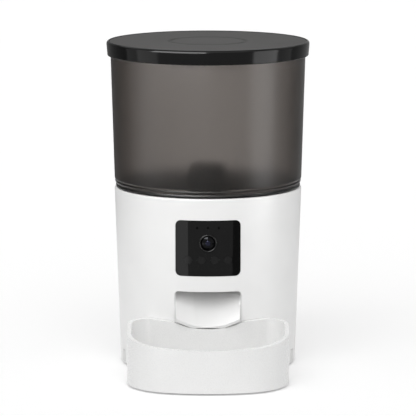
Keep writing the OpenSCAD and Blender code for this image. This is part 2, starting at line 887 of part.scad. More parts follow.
// Plan of the gearbox: one circle for each gear, grown by the wall
module case_plan(grow) {
    tip = gear_m * gear_add + gear_room;
    circle(output_r + tip + grow);
    translate([0, idler_y]) circle(large_r + tip + grow);
    translate([0, motor_y]) circle(pinion_room_r + grow);
}

module gearbox_case() {
    color("lightgray") difference() {
        union() {
            difference() {
                translate([0, 0, case_floor_z]) linear_extrude(deck_z - case_floor_z) case_plan(case_wall);
                translate([0, 0, case_z]) linear_extrude(big) case_plan(0);
            }
            translate([0, 0, case_floor_z]) cylinder(h = large_z - case_floor_z + seat_t, r = shaft_boss_r);
            translate([0, idler_y, case_floor_z])
                cylinder(h = large_z - set_gap - case_floor_z, r = axle_boss_r);
            difference() {
                for (p = ear_places())
                    translate([p[0], p[1], deck_z - ear_boss_h - ear_t]) cylinder(h = ear_t, r = ear_r);
                linear_extrude(big) case_plan(0);
            }
        }
        translate([0, 0, case_floor_z + seat_t]) cylinder(h = big, r = shaft_low_r + run_gap);
        translate([0, idler_y, case_floor_z + seat_t]) cylinder(h = big, r = axle_r + press_gap);
        translate([0, motor_y, case_floor_z - cut]) cylinder(h = big, r = motor_boss_r + set_gap);
        for (side = [-1, 1])
            translate([side * motor_screw_x(), motor_y, case_floor_z - cut])
                screw_hole(case_wall + 2 * cut);
        for (p = ear_places())
            translate([p[0], p[1], deck_z - ear_boss_h - ear_t - cut]) screw_hole(ear_t + 2 * cut);
        for (p = ear_places())
            translate([p[0], p[1], deck_z - ear_boss_h]) cylinder(h = big, r = ear_r + set_gap);
    }
}

function motor_screw_x() = motor_boss_r + head_r + gear_room;

module gearbox_screws() {
    color("silver") for (p = ear_places())
        translate([p[0], p[1], deck_z - ear_boss_h - ear_t]) screw(ear_t + ear_boss_h - seat_t);
}

module idler_axle() {
    color("silver") translate([0, idler_y, case_floor_z + seat_t])
        cylinder(h = deck_z - case_floor_z - seat_t, r = axle_r);
}

module drive_motor() {
    color("silver") difference() {
        union() {
            translate([0, motor_y, case_floor_z - motor_l]) cylinder(h = motor_l, r = motor_d / 2);
            translate([0, motor_y, case_floor_z - cut]) cylinder(h = cut + case_wall, r = motor_boss_r);
        }
        translate([0, motor_y, case_floor_z - motor_bore_h])
            cylinder(h = big, r = motor_shaft_r + run_gap);
        for (side = [-1, 1])
            translate([side * motor_screw_x(), motor_y, case_floor_z - motor_thread_h]) screw_hole(big);
    }
}

module motor_screws() {
    color("silver") for (side = [-1, 1])
        translate([side * motor_screw_x(), motor_y, case_z]) mirror([0, 0, 1])
            screw(case_wall + motor_thread_h - seat_t);
}

module output_gear() {
    color("ivory") {
        translate([0, 0, gear_z]) linear_extrude(gear_w) rotate(90) gear_outline(output_teeth);
        translate([0, 0, large_z + seat_t + set_gap])
            cylinder(h = funnel_bottom_z - large_z - seat_t - set_gap, r = shaft_r);
        translate([0, 0, case_floor_z + seat_t + hub_play])
            cylinder(h = gear_z - case_floor_z, r = shaft_low_r);
        translate([-dog_w / 2, -dog_w / 2, deck_z]) cube([dog_w, dog_w, rotor_z + dog_h - deck_z]);
    }
}

module idler_gear() {
    color("ivory") translate([0, idler_y, 0]) difference() {
        union() {
            translate([0, 0, large_z]) linear_extrude(large_w) rotate(90) gear_outline(idler_large_teeth);
            translate([0, 0, large_z + large_w - cut])
                linear_extrude(gear_z + gear_w - large_z - large_w + cut)
                    rotate(270 + 180 / idler_small_teeth) gear_outline(idler_small_teeth);
        }
        translate([0, 0, large_z - cut]) cylinder(h = big, r = axle_r + run_gap);
    }
}

module motor_pinion() {
    color("goldenrod") translate([0, motor_y, 0]) {
        translate([0, 0, large_z - set_gap]) linear_extrude(large_w + seat_t)
            rotate(270 + 180 / pinion_teeth) gear_outline(pinion_teeth);
        translate([0, 0, case_floor_z - motor_bore_h + seat_t])
            cylinder(h = large_z + large_w - case_floor_z + motor_bore_h - seat_t, r = motor_shaft_r);
    }
}

module battery_cells() {
    nub_r = 4.5;
    nub_h = 1.5;
    color("darkorange") for (i = [0:cell_count - 1]) {
        turn = i % 2 == 0 ? 0 : 180;
        translate([cell_x(i), bay_y, cell_z]) rotate([90, 0, turn]) {
            cylinder(h = cell_l - nub_h, r = cell_d / 2, center = true);
            cylinder(h = cell_l / 2, r = nub_r);
        }
    }
}

module battery_contacts() {
    w = cell_d * 0.6;
    color("silver") for (i = [0:cell_count - 1], side = [-1, 1]) {
        y = bay_y + side * (bay_l / 2 - contact_t / 2);
        translate([cell_x(i) - w / 2, y - contact_t / 2, cell_z - w / 2]) cube([w, contact_t, w]);
        face_rear(cell_x(i), y - (side + 1) * contact_spring() / 2, cell_z)
            cylinder(h = contact_spring(), r = spring_r);
    }
}

function cell_x(i) = (i - (cell_count - 1) / 2) * (cell_d + cell_gap);
function contact_spring() = (bay_l - cell_l) / 2 - contact_t / 2 - 2 * run_gap;

module battery_door() {
    color("gainsboro") difference() {
        union() {
            translate([-bay_w / 2 + door_gap, bay_y0 + door_gap, base_z])
                cube([bay_w - 2 * door_gap, hinge_y - bay_y0 - door_gap, door_t]);
            for (side = [-1, 1])
                translate([side * hinge_step(1), hinge_y, hinge_z])
                    rotate([0, 90, 0]) cylinder(h = hinge_w, r = hinge_r, center = true);
        }
        hinge_axis() cylinder(h = big, r = pin_r + run_gap, center = true);
        for (side = [-1, 1], place = [0, 2])
            translate([side * hinge_step(place) - hinge_w / 2 - set_gap, hinge_y - hinge_sweep,
                base_z - cut]) cube([hinge_w + 2 * set_gap, big, big]);
    }
}

module door_pins() {
    l = 3 * hinge_w + 2 * set_gap;
    color("silver") for (side = [-1, 1])
        translate([side * hinge_step(1), hinge_y, hinge_z])
            rotate([0, 90, 0]) cylinder(h = l, r = pin_r, center = true);
}

module main_board() {
    color("darkgreen") difference() {
        translate([-main_board_w / 2, bay_y - main_board_l / 2, main_board_z])
            cube([main_board_w, main_board_l, board_t]);
        for (p = main_posts())
            translate([p[0], p[1], main_board_z - cut]) screw_hole(board_t + 2 * cut);
    }
}

module board_components() {
    top = main_board_z + board_t;
    color("dimgray") {
        translate([-22, bay_y - 12, top]) cube([18, 24, 3]);
        translate([4, bay_y - 16, top]) cube([10, 10, 1.6]);
        translate([8, bay_y + 6, top]) cube([12, 6, 5]);
        for (x = [22, 32])
            translate([x, bay_y - 8, top]) cylinder(h = 8, r = 3.2);
    }
}

module main_board_screws() {
    color("silver") for (p = main_posts())
        translate([p[0], p[1], main_board_z + board_t]) mirror([0, 0, 1])
            screw(board_t + main_post_h - seat_t);
}

module speaker() {
    color("dimgray") {
        face_rear(0, speaker_y - speaker_t, speaker_z) cylinder(h = speaker_t, r = speaker_d / 2);
        face_rear(0, speaker_y - 2 * speaker_t, speaker_z)
            cylinder(h = 2 * speaker_t - seat_t, r = speaker_d / 4);
    }
}

module power_board() {
    color("darkgreen") translate([-power_board_w / 2, power_board_y, power_board_z])
        cube([power_board_w, power_board_l, board_t]);
}

module usb_inlet() {
    wall = 0.4;
    back = 2;
    flat = 0.1;
    color("silver") difference() {
        face_front(0, inlet_y, inlet_z) linear_extrude(inlet_l)
            rounded_rect(inlet_w, inlet_h, inlet_h / 2 - flat);
        face_front(0, inlet_y + cut, inlet_z) linear_extrude(inlet_l - back + cut)
            rounded_rect(inlet_w - 2 * wall, inlet_h - 2 * wall, inlet_h / 2 - wall - flat);
    }
}

module hopper_tub() {
    step_r = hopper_base_d / 2;
    shoulder_r = tub_r(shoulder_z);
    color([0.35, 0.34, 0.33, 0.6]) difference() {
        rotate_extrude() polygon([
            [spigot_r, rim_z - spigot_h], [spigot_r, rim_z], [collar_r, rim_z], [collar_r, collar_z],
            [step_r, step_z], [shoulder_r, shoulder_z], [neck_r, neck_z], [mouth_r, tub_z],
            [mouth_r - hopper_wall, tub_z], [neck_r - hopper_wall, neck_z],
            [shoulder_r - hopper_wall, shoulder_z], [step_r - hopper_wall, step_z],
            [collar_r - hopper_wall, collar_z],
            [collar_r - hopper_wall, tub_ledge_z], [tub_ledge_r, tub_ledge_z], [tub_ledge_r, rim_z],
            [spigot_r - hopper_wall, rim_z], [spigot_r - hopper_wall, rim_z - spigot_h]]);
        translate([0, 0, rim_z - cut]) ring_of(4, funnel_screw_r()) screw_hole(big);
    }
}

function funnel_screw_r() = tub_ledge_r + screw_r + seat_t;

module feed_funnel() {
    flange_r = collar_r - hopper_wall - set_gap;
    neck_r = tub_ledge_r - 2 * set_gap;
    bush_hole = journal_r + bush_wall + press_gap;
    color("black") difference() {
        union() {
            rotate_extrude() polygon([
                [bush_hole, funnel_bottom_z], [chamber_r + funnel_wall, funnel_bottom_z],
                [chamber_r + funnel_wall, chamber_top_z], [neck_r, funnel_z], [flange_r, funnel_z],
                [flange_r, funnel_z + flange_t], [neck_r - funnel_wall + 1, funnel_z + flange_t],
                [chamber_r, chamber_top_z + 1], [chamber_r, chamber_z], [bush_hole, chamber_z]]);
            rotate([0, 0, -90 - baffle_a]) rotate_extrude(angle = 2 * baffle_a)
                translate([chamber_r - 2, baffle_z - baffle_t]) square([3, baffle_t]);
        }
        translate([0, 0, funnel_bottom_z - cut]) linear_extrude(funnel_wall + 2 * cut) outlet(outlet_r);
        translate([0, 0, funnel_z - cut]) ring_of(4, funnel_screw_r()) screw_hole(big);
    }
}

module funnel_screws() {
    color("silver") translate([0, 0, funnel_z + flange_t]) ring_of(4, funnel_screw_r())
        mirror([0, 0, 1]) screw(flange_t + tub_ledge_t);
}

module outlet_baffle() {
    inner = core_r + 1.5;
    color("dimgray") rotate([0, 0, -90 - baffle_a]) rotate_extrude(angle = 2 * baffle_a)
        translate([inner, baffle_z]) square([chamber_r - set_gap - inner, baffle_t]);
}

module rotor_bush() {
    color("goldenrod") difference() {
        union() {
            translate([0, 0, funnel_bottom_z]) cylinder(h = funnel_wall, r = journal_r + bush_wall);
            translate([0, 0, chamber_z]) cylinder(h = bush_flange_t, r = journal_r + bush_wall + 2);
        }
        translate([0, 0, funnel_bottom_z - cut]) cylinder(h = big, r = journal_r + run_gap);
    }
}

module rotor_hub() {
    socket = dog_w + 2 * dog_play;
    color("black") difference() {
        union() {
            rotate_extrude() polygon([
                [0, rotor_z], [core_r, rotor_z], [core_r, chamber_top_z - seat_t],
                [hub_skirt_r, chamber_top_z + seat_t], [hub_waist_d / 2, hub_waist_z],
                [hub_top_d / 2, hub_z], [0, hub_z]]);
            translate([0, 0, funnel_bottom_z + hub_play])
                cylinder(h = rotor_z - funnel_bottom_z, r = journal_r);
        }
        translate([-socket / 2, -socket / 2, funnel_bottom_z - cut])
            cube([socket, socket, rotor_z + dog_h + dog_room - funnel_bottom_z + cut]);
        blade_places() translate([core_r - slot_depth, -blade_t / 2 - blade_fit(), blade_z0 - blade_fit()])
            cube([slot_depth + cut, blade_t + 2 * blade_fit(), blade_z1 - blade_z0 + 2 * blade_fit()]);
    }
}

function blade_fit() = 0.1;

module blade_places() {
    for (i = [0:blade_count - 1])
        rotate([0, 0, 90 + i * 360 / blade_count]) children();
}

module rotor_blades() {
    root = core_r - slot_depth + blade_fit();
    color("dimgray") blade_places() translate([root, -blade_t / 2, blade_z0])
        cube([chamber_r - 2 - tip_gap - root, blade_t, blade_z1 - blade_z0]);
}

module lid_shell() {
    r = lid_d / 2;
    color("black") rotate_extrude() polygon([
        [0, plate_z], [skirt_in_r, plate_z], [skirt_in_r, skirt_z], [r - skirt_draft, skirt_z],
        [r, lid_z - 1.7 * lid_round], [r - 0.3 * lid_round, lid_z - 0.4 * lid_round],
        [r - lid_round, lid_z], [inlay_r + set_gap, lid_z],
        [inlay_r + set_gap, lid_z - lid_rim_h], [0, lid_z - lid_rim_h]]);
}

module lid_inlay() {
    color("dimgray") difference() {
        translate([0, 0, lid_z - lid_rim_h]) cylinder(h = inlay_t, r = inlay_r);
        translate([0, 0, lid_z - lid_rim_h + inlay_t - dish_depth]) cylinder(h = big, r = dish_d / 2);
    }
}

module lid_seal() {
    color("gray") translate([0, 0, tub_z])
        ring(mouth_r - seal_inset, mouth_r - hopper_wall + seal_inset, seal_h);
}

module desiccant_cup() {
    color("dimgray") translate([0, 0, plate_z - desiccant_h])
        ring(desiccant_d / 2, desiccant_d / 2 - cup_wall, desiccant_h);
}

module desiccant_cap() {
    cap_t = 2;
    cap_h = 8;
    cap_wall = 1.6;
    vent_r = 1.5;
    inner = desiccant_d / 2 + set_gap;
    color("gray") translate([0, 0, plate_z - desiccant_h - set_gap - cap_t]) difference() {
        cylinder(h = cap_h, r = inner + cap_wall);
        translate([0, 0, cap_t]) cylinder(h = cap_h, r = inner);
        for (ring_no = [1:3])
            translate([0, 0, -cut]) ring_of(6 * ring_no, ring_no * desiccant_d / 8)
                cylinder(h = big, r = vent_r);
    }
}

// Plan of the bowl, drawn in by inset, before the tower is cut out of it
module bowl_plan(inset) {
    half = bowl_w / 2 - inset;
    intersection() {
        translate([0, bowl_front_cy]) circle(bowl_front_r - inset);
        union() {
            translate([-bowl_tx, -big]) square([2 * bowl_tx, big + bowl_cy]);
            for (side = [-1, 1]) {
                translate([side * bowl_cx, bowl_cy]) circle(bowl_corner_r - inset);
                translate([side * bowl_rear_cx, bowl_rear_cy]) circle(bowl_rear_r - inset);
            }
            translate([-half, bowl_cy]) square([2 * half, bowl_rear_cy - bowl_cy]);
            translate([-bowl_rear_cx, bowl_cy]) square([2 * bowl_rear_cx, bowl_rear_y - inset - bowl_cy]);
        }
    }
}

// Side view below the sloped rim
module below_rim() {
    rotate([90, 0, 90]) translate([0, 0, -big / 2]) linear_extrude(big) polygon([
        [-bowl_reach - 10, foot_h], [0, foot_h], [0, bowl_front_h + bowl_reach * rim_slope],
        [-bowl_reach - 10, bowl_front_h - 10 * rim_slope]]);
}

// Section of the bowl's inside from its middle to a side at r, with a rounded foot
module pan_section(r) {
    f = min(bowl_fillet, (bowl_rear_r - bowl_wall) / 2 - 1);
    translate([0, f]) square([r, big]);
    square([r - f, 2 * f]);
    translate([r - f, f]) circle(f);
}

// Round pan, cut to the stretch of the bowl that its plan covers
module pan_piece(centre, r, plan) {
    intersection() {
        translate([centre[0], centre[1], 0]) rotate_extrude() pan_section(r);
        linear_extrude(big) polygon(plan);
    }
}

module bowl_cavity() {
    half = bowl_w / 2 - bowl_wall;
    front = [0, bowl_front_cy];
    corner = [bowl_cx, bowl_cy];
    rear = [bowl_rear_cx, bowl_rear_cy];
    far = corner + (corner - front);
    difference() {
        translate([0, 0, bowl_floor_z]) {
            pan_piece(front, bowl_front_r - bowl_wall, [front, [-far[0], far[1]], far]);
            for (side = [0, 1])
                mirror([side, 0, 0]) {
                    pan_piece(corner, bowl_corner_r - bowl_wall,
                        [corner, far, [big, far[1]], [big, corner[1]]]);
                    pan_piece(rear, bowl_rear_r - bowl_wall,
                        [rear, [big, rear[1]], [big, 0], [rear[0], 0]]);
                    translate([0, rear[1], 0]) rotate([90, 0, 0]) linear_extrude(rear[1] - corner[1])
                        pan_section(half);
                }
            translate([-rear[0], rear[1], 0]) cube([2 * rear[0], bowl_rear_r - bowl_wall, big]);
        }
        skin_cone(base_z, rim_z, bowl_gap + bowl_wall);
    }
}

module feeding_bowl() {
    color("white") difference() {
        union() {
            difference() {
                intersection() {
                    translate([0, 0, foot_h]) linear_extrude(big) bowl_plan(0);
                    below_rim();
                }
                skin_cone(base_z - cut, rim_z, bowl_gap);
            }
            for (side = [-1, 1])
                translate([side * hook_x - hook_w / 2, hook_y() - bowl_wall, hook_z])
                    cube([hook_w, hook_reach + bowl_wall, hook_h]);
        }
        bowl_cavity();
        face_front(0, 0, notch_z + big / 2) linear_extrude(body_r(lip_z) + bowl_gap + bowl_wall + 3)
            rounded_rect(notch_w, big, notch_corner);
        for (side = [-1, 1], p = pads)
            translate([side * p[0], p[1], foot_h - cut]) cylinder(h = pad_set + cut, r = pad_r + set_gap);
    }
}

function hook_y() = -sqrt(pow(body_r(hook_z) + bowl_gap, 2) - pow(hook_x - hook_w / 2, 2));

module bowl_feet() {
    color("dimgray") for (side = [-1, 1], p = pads)
        translate([side * p[0], p[1], 0]) cylinder(h = foot_h + pad_set, r = pad_r);
}

body_shell();
base_cover();
foot_ring();
base_screws();
feed_deck();
deck_screws();
shaft_bush();
feed_chute();
chute_screws();
camera_panel();
lens_ring();
lens_glass();
lens_barrel();
sensor_windows();
front_board();
front_board_screws();
tact_switches();
gearbox_case();
gearbox_screws();
idler_axle();
drive_motor();
motor_screws();
battery_cells();
battery_contacts();
battery_door();
door_pins();
main_board();
board_components();
main_board_screws();
speaker();
power_board();
usb_inlet();
hopper_tub();
feed_funnel();
funnel_screws();
outlet_baffle();
rotor_bush();
rotor_hub();
rotor_blades();
lid_shell();
lid_inlay();
lid_seal();
desiccant_cup();
desiccant_cap();
output_gear();
idler_gear();
motor_pinion();
feeding_bowl();
bowl_feet();
for (i = [1:button_count])
    push_button(i);
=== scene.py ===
"""Looks of a pet feeder with a camera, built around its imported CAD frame."""

import logging
import math
from abc import ABC, abstractmethod
from dataclasses import dataclass, field
from enum import Enum
from typing import Callable, Iterable, Sequence

import bmesh
import bpy
from bmesh.types import BMEdge, BMesh, BMVert
from bpy.types import ID, Light, Material, Mesh, Node, NodeSocket, NodeTree, Object
from mathutils import Matrix, Vector


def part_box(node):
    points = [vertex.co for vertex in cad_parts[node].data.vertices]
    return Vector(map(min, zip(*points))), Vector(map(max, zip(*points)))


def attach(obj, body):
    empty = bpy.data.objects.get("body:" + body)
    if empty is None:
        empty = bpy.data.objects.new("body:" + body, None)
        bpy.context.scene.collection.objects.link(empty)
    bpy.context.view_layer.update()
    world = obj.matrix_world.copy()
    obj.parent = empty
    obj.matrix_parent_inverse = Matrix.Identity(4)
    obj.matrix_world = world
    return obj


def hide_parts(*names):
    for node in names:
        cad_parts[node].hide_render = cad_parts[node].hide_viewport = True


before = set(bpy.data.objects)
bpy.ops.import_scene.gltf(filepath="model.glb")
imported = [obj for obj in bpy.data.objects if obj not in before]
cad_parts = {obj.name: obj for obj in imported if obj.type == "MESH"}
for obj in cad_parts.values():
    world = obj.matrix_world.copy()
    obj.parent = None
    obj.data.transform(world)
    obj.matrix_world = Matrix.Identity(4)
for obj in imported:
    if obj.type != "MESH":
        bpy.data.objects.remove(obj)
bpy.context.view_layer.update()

LOG = logging.getLogger("pet_feeder")
MM = 0.001
FULL_TURN = 2 * math.pi
MERGE_DISTANCE = 1e-6
SHARP_ANGLE = 40.0
FLAT_ANGLE = 0.4
NOISE_SPAN = (0.3, 0.7)
FRONT = Matrix.Rotation(math.pi / 2, 4, "X")
REAR = Matrix.Rotation(-math.pi / 2, 4, "X")
ORIGIN = (0.0, 0.0, 0.0)
UP = (0.0, 0.0, 1.0)
SIDES = (-1, 1)
WHITE = (1.0, 1.0, 1.0, 1.0)
BLACK = (0.0, 0.0, 0.0, 1.0)
Colour = tuple[float, float, float]
Point = tuple[float, float, float]
Pair = tuple[float, float]


class Slot(Enum):
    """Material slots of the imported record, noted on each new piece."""

    WHITE_SHELL = "white_shell"
    WHITE_INNER = "white_inner"
    GLOSS_BLACK = "gloss_black"
    INLAY_GREY = "inlay_grey"
    SMOKY = "smoky"
    RUBBER = "rubber"
    LENS_GLASS = "lens_glass"


class Cut(Enum):
    """Ways to combine two closed meshes."""

    CARVE = "DIFFERENCE"
    TRIM = "INTERSECT"
    JOIN = "UNION"


class Ease(Enum):
    """What a rounding works on."""

    EDGES = "EDGES"
    CORNERS = "VERTICES"


def mm(x: float, y: float, z: float) -> Vector:
    """Point in metres from millimetres."""
    return Vector((x, y, z)) * MM


def at(x: float, y: float, z: float) -> Matrix:
    """Move to a place given in millimetres."""
    return Matrix.Translation(mm(x, y, z))


@dataclass(frozen=True)
class Corner:
    """Corner of a turned profile, in millimetres."""

    r: float
    z: float
    round: float = 0.0


@dataclass(frozen=True)
class Opening:
    """Rounded opening in the tower's front, in millimetres."""

    width: float
    height: float
    corner: float
    middle: float


@dataclass(frozen=True)
class Skin:
    """Cone that the tower's skin follows, in millimetres."""

    base_r: float = 91.2
    top_r: float = 97.3
    base_z: float = 2.0
    rim_z: float = 185.0
    wall: float = 2.6

    def radius(self, z: float, inset: float = 0.0) -> float:
        """Radius at a height, drawn in by an inset."""
        share = (z - self.base_z) / (self.rim_z - self.base_z)
        return self.base_r + (self.top_r - self.base_r) * share - inset

    def off(self, point: Vector, inset: float = 0.0) -> float:
        """Distance of a point from the skin, which is drawn in by an inset."""
        return abs(math.hypot(point.x, point.y) - self.radius(point.z, inset))


def shade(colour: Colour, factor: float) -> Colour:
    """Colour made lighter or darker by a factor."""
    return tuple(min(1.0, channel * factor) for channel in colour)


class Recipe:
    """Node tree of one material, with short calls for the nodes that a finish needs."""

    def __init__(self, name: str) -> None:
        """Starts a material with its shader and the piece's own coordinates.

        Args:
            name: Name of the material.
        """
        self.material = bpy.data.materials.new(name)
        self.material.use_nodes = True
        self.tree = self.material.node_tree
        self.shader = self.tree.nodes["Principled BSDF"]
        self.place = self.tree.nodes.new("ShaderNodeTexCoord").outputs["Object"]

    def node(self, kind: str, **settings: object) -> Node:
        """Adds a node.

        Args:
            kind: Blender's name of the node's type.
            settings: Attributes to set on the node.

        Returns:
            The new node.
        """
        made = self.tree.nodes.new(kind)
        for name, value in settings.items():
            setattr(made, name, value)
        return made

    def link(self, source: NodeSocket, target: NodeSocket) -> None:
        """Links two sockets."""
        self.tree.links.new(source, target)

    def drive(self, name: str, source: NodeSocket) -> None:
        """Links a socket to one of the shader's own."""
        self.link(source, self.shader.inputs[name])

    def set(self, values: dict[str, object]) -> None:
        """Sets sockets of the shader by name."""
        for name, value in values.items():
            self.shader.inputs[name].default_value = value

    def stretched(self, scale: Point) -> NodeSocket:
        """Piece coordinates, stretched by a factor along each axis.

        Args:
            scale: Factor along each axis.

        Returns:
            Vector socket.
        """
        mapping = self.node("ShaderNodeMapping")
        mapping.inputs["Scale"].default_value = scale
        self.link(self.place, mapping.inputs["Vector"])
        return mapping.outputs["Vector"]

    def noise(self, size: float, detail: float = 2.0, place: NodeSocket | None = None) -> NodeSocket:
        """Noise whose blotches are about one size across.

        Args:
            size: Size of a blotch in millimetres.
            detail: Number of finer octaves.
            place: Coordinates to use in place of the piece's own.

        Returns:
            Socket of the noise's value.
        """
        made = self.node("ShaderNodeTexNoise")
        made.inputs["Scale"].default_value = 1 / (size * MM)
        made.inputs["Detail"].default_value = detail
        self.link(place or self.place, made.inputs["Vector"])
        return made.outputs["Fac"]

    def shades(self, value: NodeSocket, low: Colour, high: Colour, span: Pair = NOISE_SPAN) -> NodeSocket:
        """Colour that runs between two shades.

        Args:
            value: Socket that drives the colour.
            low: Shade at the start of the span.
            high: Shade at the end of the span.
            span: Driving values of the two shades.

        Returns:
            Colour socket.
        """
        ramp = self.node("ShaderNodeValToRGB")
        first, last = ramp.color_ramp.elements
        first.position, last.position = span
        first.color, last.color = (*low, 1.0), (*high, 1.0)
        self.link(value, ramp.inputs["Fac"])
        return ramp.outputs["Color"]

    def vary_colour(self, value: NodeSocket, colour: Colour, span: Pair) -> None:
        """Drives the shader's colour with a noise, between two factors of one colour."""
        low, high = (shade(colour, factor) for factor in span)
        self.drive("Base Color", self.shades(value, low, high))

    def vary_gloss(self, value: NodeSocket, low: float, high: float) -> None:
        """Drives the shader's roughness with a noise.

        Args:
            value: Socket of the noise.
            low: Roughness where the noise is low.
            high: Roughness where the noise is high.
        """
        made = self.node("ShaderNodeMapRange")
        limits = {"From Min": NOISE_SPAN[0], "From Max": NOISE_SPAN[1], "To Min": low, "To Max": high}
        for name, limit in limits.items():
            made.inputs[name].default_value = limit
        self.link(value, made.inputs["Value"])
        self.drive("Roughness", made.outputs["Result"])

    def relief(self, height: NodeSocket, depth: float, strength: float = 1.0) -> None:
        """Drives the shader's normal with a height.

        Args:
            height: Socket of the height.
            depth: Depth of the relief in millimetres.
            strength: Share of the relief that shows.
        """
        bump = self.node("ShaderNodeBump")
        bump.inputs["Distance"].default_value = depth * MM
        bump.inputs["Strength"].default_value = strength
        self.link(height, bump.inputs["Height"])
        self.drive("Normal", bump.outputs["Normal"])


@dataclass(frozen=True)
class Finish(ABC):
    """Finish of a piece, made into a material once."""

    name: str

    @abstractmethod
    def cook(self, recipe: Recipe) -> None:
        """Fills in the node tree of the finish."""

    def material(self) -> Material:
        """Makes the finish a material on its first use.

        Returns:
            Material of this finish.
        """
        found = bpy.data.materials.get(self.name)
        if found is None:
            recipe = Recipe(self.name)
            self.cook(recipe)
            found = recipe.material
        return found


@dataclass(frozen=True)
class Moulded(Finish):
    """Moulded plastic or rubber with a slow drift in shade and a fine skin."""

    colour: Colour
    roughness: float
    drift: float = 0.015
    drift_size: float = 40.0
    grain_size: float = 0.7
    grain_depth: float = 0.004
    specular: float = 0.5
    gloss_factors: Pair = (0.92, 1.08)

    def cook(self, recipe: Recipe) -> None:
        """Fills in drift, gloss and skin.

        Args:
            recipe: Node tree to fill in.
        """
        recipe.set({"Specular IOR Level": self.specular})
        slow = recipe.noise(self.drift_size)
        recipe.vary_colour(slow, self.colour, (1 - self.drift, 1 + self.drift))
        fine = recipe.noise(self.grain_size)
        recipe.vary_gloss(fine, *(self.roughness * factor for factor in self.gloss_factors))
        recipe.relief(fine, self.grain_depth)


@dataclass(frozen=True)
class Smoky(Finish):
    """Smoke-tinted see-through plastic with a soft haze, darker where its wall is seen at a slant."""

    tint: Colour
    density: float
    roughness: float
    index: float
    gloss_factors: Pair = (0.94, 1.06)
    flow_size: float = 60.0
    flow: Point = (1.0, 1.0, 0.25)
    ripple_size: float = 4.0
    ripple_depth: float = 0.002

    def cook(self, recipe: Recipe) -> None:
        """Fills in the tint through the wall, the haze and a faint flow of the moulding.

        Args:
            recipe: Node tree to fill in.
        """
        recipe.set({"Base Color": WHITE, "Transmission Weight": 1.0, "IOR": self.index})
        smoke = recipe.node("ShaderNodeVolumeAbsorption")
        smoke.inputs["Color"].default_value = (*self.tint, 1.0)
        smoke.inputs["Density"].default_value = self.density
        recipe.link(smoke.outputs["Volume"], recipe.tree.nodes["Material Output"].inputs["Volume"])
        flow = recipe.noise(self.flow_size, place=recipe.stretched(self.flow))
        recipe.vary_gloss(flow, *(self.roughness * factor for factor in self.gloss_factors))
        recipe.relief(recipe.noise(self.ripple_size), self.ripple_depth)


@dataclass(frozen=True)
class Metal(Finish):
    """Metal with the fine lines of its last pass."""

    colour: Colour
    roughness: float
    lines: Point = (1.0, 1.0, 14.0)
    line_size: float = 2.0
    line_detail: float = 3.0
    line_depth: float = 0.006
    gloss_factors: Pair = (0.8, 1.25)
    tarnish: Pair = (0.9, 1.05)
    tarnish_size: float = 9.0

    def cook(self, recipe: Recipe) -> None:
        """Fills in lines and tarnish.

        Args:
            recipe: Node tree to fill in.
        """
        recipe.set({"Metallic": 1.0})
        recipe.vary_colour(recipe.noise(self.tarnish_size), self.colour, self.tarnish)
        fine = recipe.noise(self.line_size, self.line_detail, recipe.stretched(self.lines))
        recipe.vary_gloss(fine, *(self.roughness * factor for factor in self.gloss_factors))
        recipe.relief(fine, self.line_depth)


@dataclass(frozen=True)
class Laminate(Finish):
    """Circuit board with copper tracks under its green mask."""

    colour: Colour
    copper: Colour
    second_shade: float = 0.8
    track_scale: float = 160.0
    track_width: float = 0.05
    track_depth: float = 0.03
    track_relief: float = 0.5
    grain_size: float = 1.5
    gloss: Pair = (0.3, 0.45)

    def cook(self, recipe: Recipe) -> None:
        """Fills in mask, tracks and gloss.

        Args:
            recipe: Node tree to fill in.
        """
        tracks = recipe.node("ShaderNodeTexBrick", offset=0.5)
        tracks.inputs["Scale"].default_value = self.track_scale
        tracks.inputs["Mortar Size"].default_value = self.track_width
        tracks.inputs["Color1"].default_value = (*self.colour, 1.0)
        tracks.inputs["Color2"].default_value = (*shade(self.colour, self.second_shade), 1.0)
        tracks.inputs["Mortar"].default_value = (*self.copper, 1.0)
        recipe.link(recipe.place, tracks.inputs["Vector"])
        recipe.drive("Base Color", tracks.outputs["Color"])
        recipe.vary_gloss(recipe.noise(self.grain_size), *self.gloss)
        recipe.relief(tracks.outputs["Fac"], self.track_depth, self.track_relief)


@dataclass(frozen=True)
class Sleeve(Finish):
    """Battery sleeve: two bands of colour along the cell."""

    colour: Colour
    band: Colour
    band_y: float
    film_size: float = 3.0
    film_depth: float = 0.02
    film_relief: float = 0.5
    gloss: Pair = (0.22, 0.34)

    def cook(self, recipe: Recipe) -> None:
        """Fills in the bands and a shrunk-film gloss.

        Args:
            recipe: Node tree to fill in.
        """
        split = recipe.node("ShaderNodeSeparateXYZ")
        recipe.link(recipe.place, split.inputs["Vector"])
        edge = recipe.node("ShaderNodeMath", operation="GREATER_THAN")
        edge.inputs[1].default_value = self.band_y * MM
        recipe.link(split.outputs["Y"], edge.inputs[0])
        recipe.drive("Base Color", recipe.shades(edge.outputs["Value"], self.colour, self.band, (0.0, 1.0)))
        fine = recipe.noise(self.film_size)
        recipe.vary_gloss(fine, *self.gloss)
        recipe.relief(fine, self.film_depth, self.film_relief)


@dataclass(frozen=True)
class Glass(Finish):
    """Coated lens glass over a dark camera, tinted by its coating."""

    colour: Colour
    tint: Colour
    index: float
    dust: Pair = (0.9, 1.1)
    dust_size: float = 4.0
    gloss: Pair = (0.02, 0.05)

    def cook(self, recipe: Recipe) -> None:
        """Fills in glass, coating and a trace of dust.

        Args:
            recipe: Node tree to fill in.
        """
        recipe.set({"IOR": self.index, "Specular Tint": (*self.tint, 1.0)})
        dust = recipe.noise(self.dust_size)
        recipe.vary_colour(dust, self.colour, self.dust)
        recipe.vary_gloss(dust, *self.gloss)


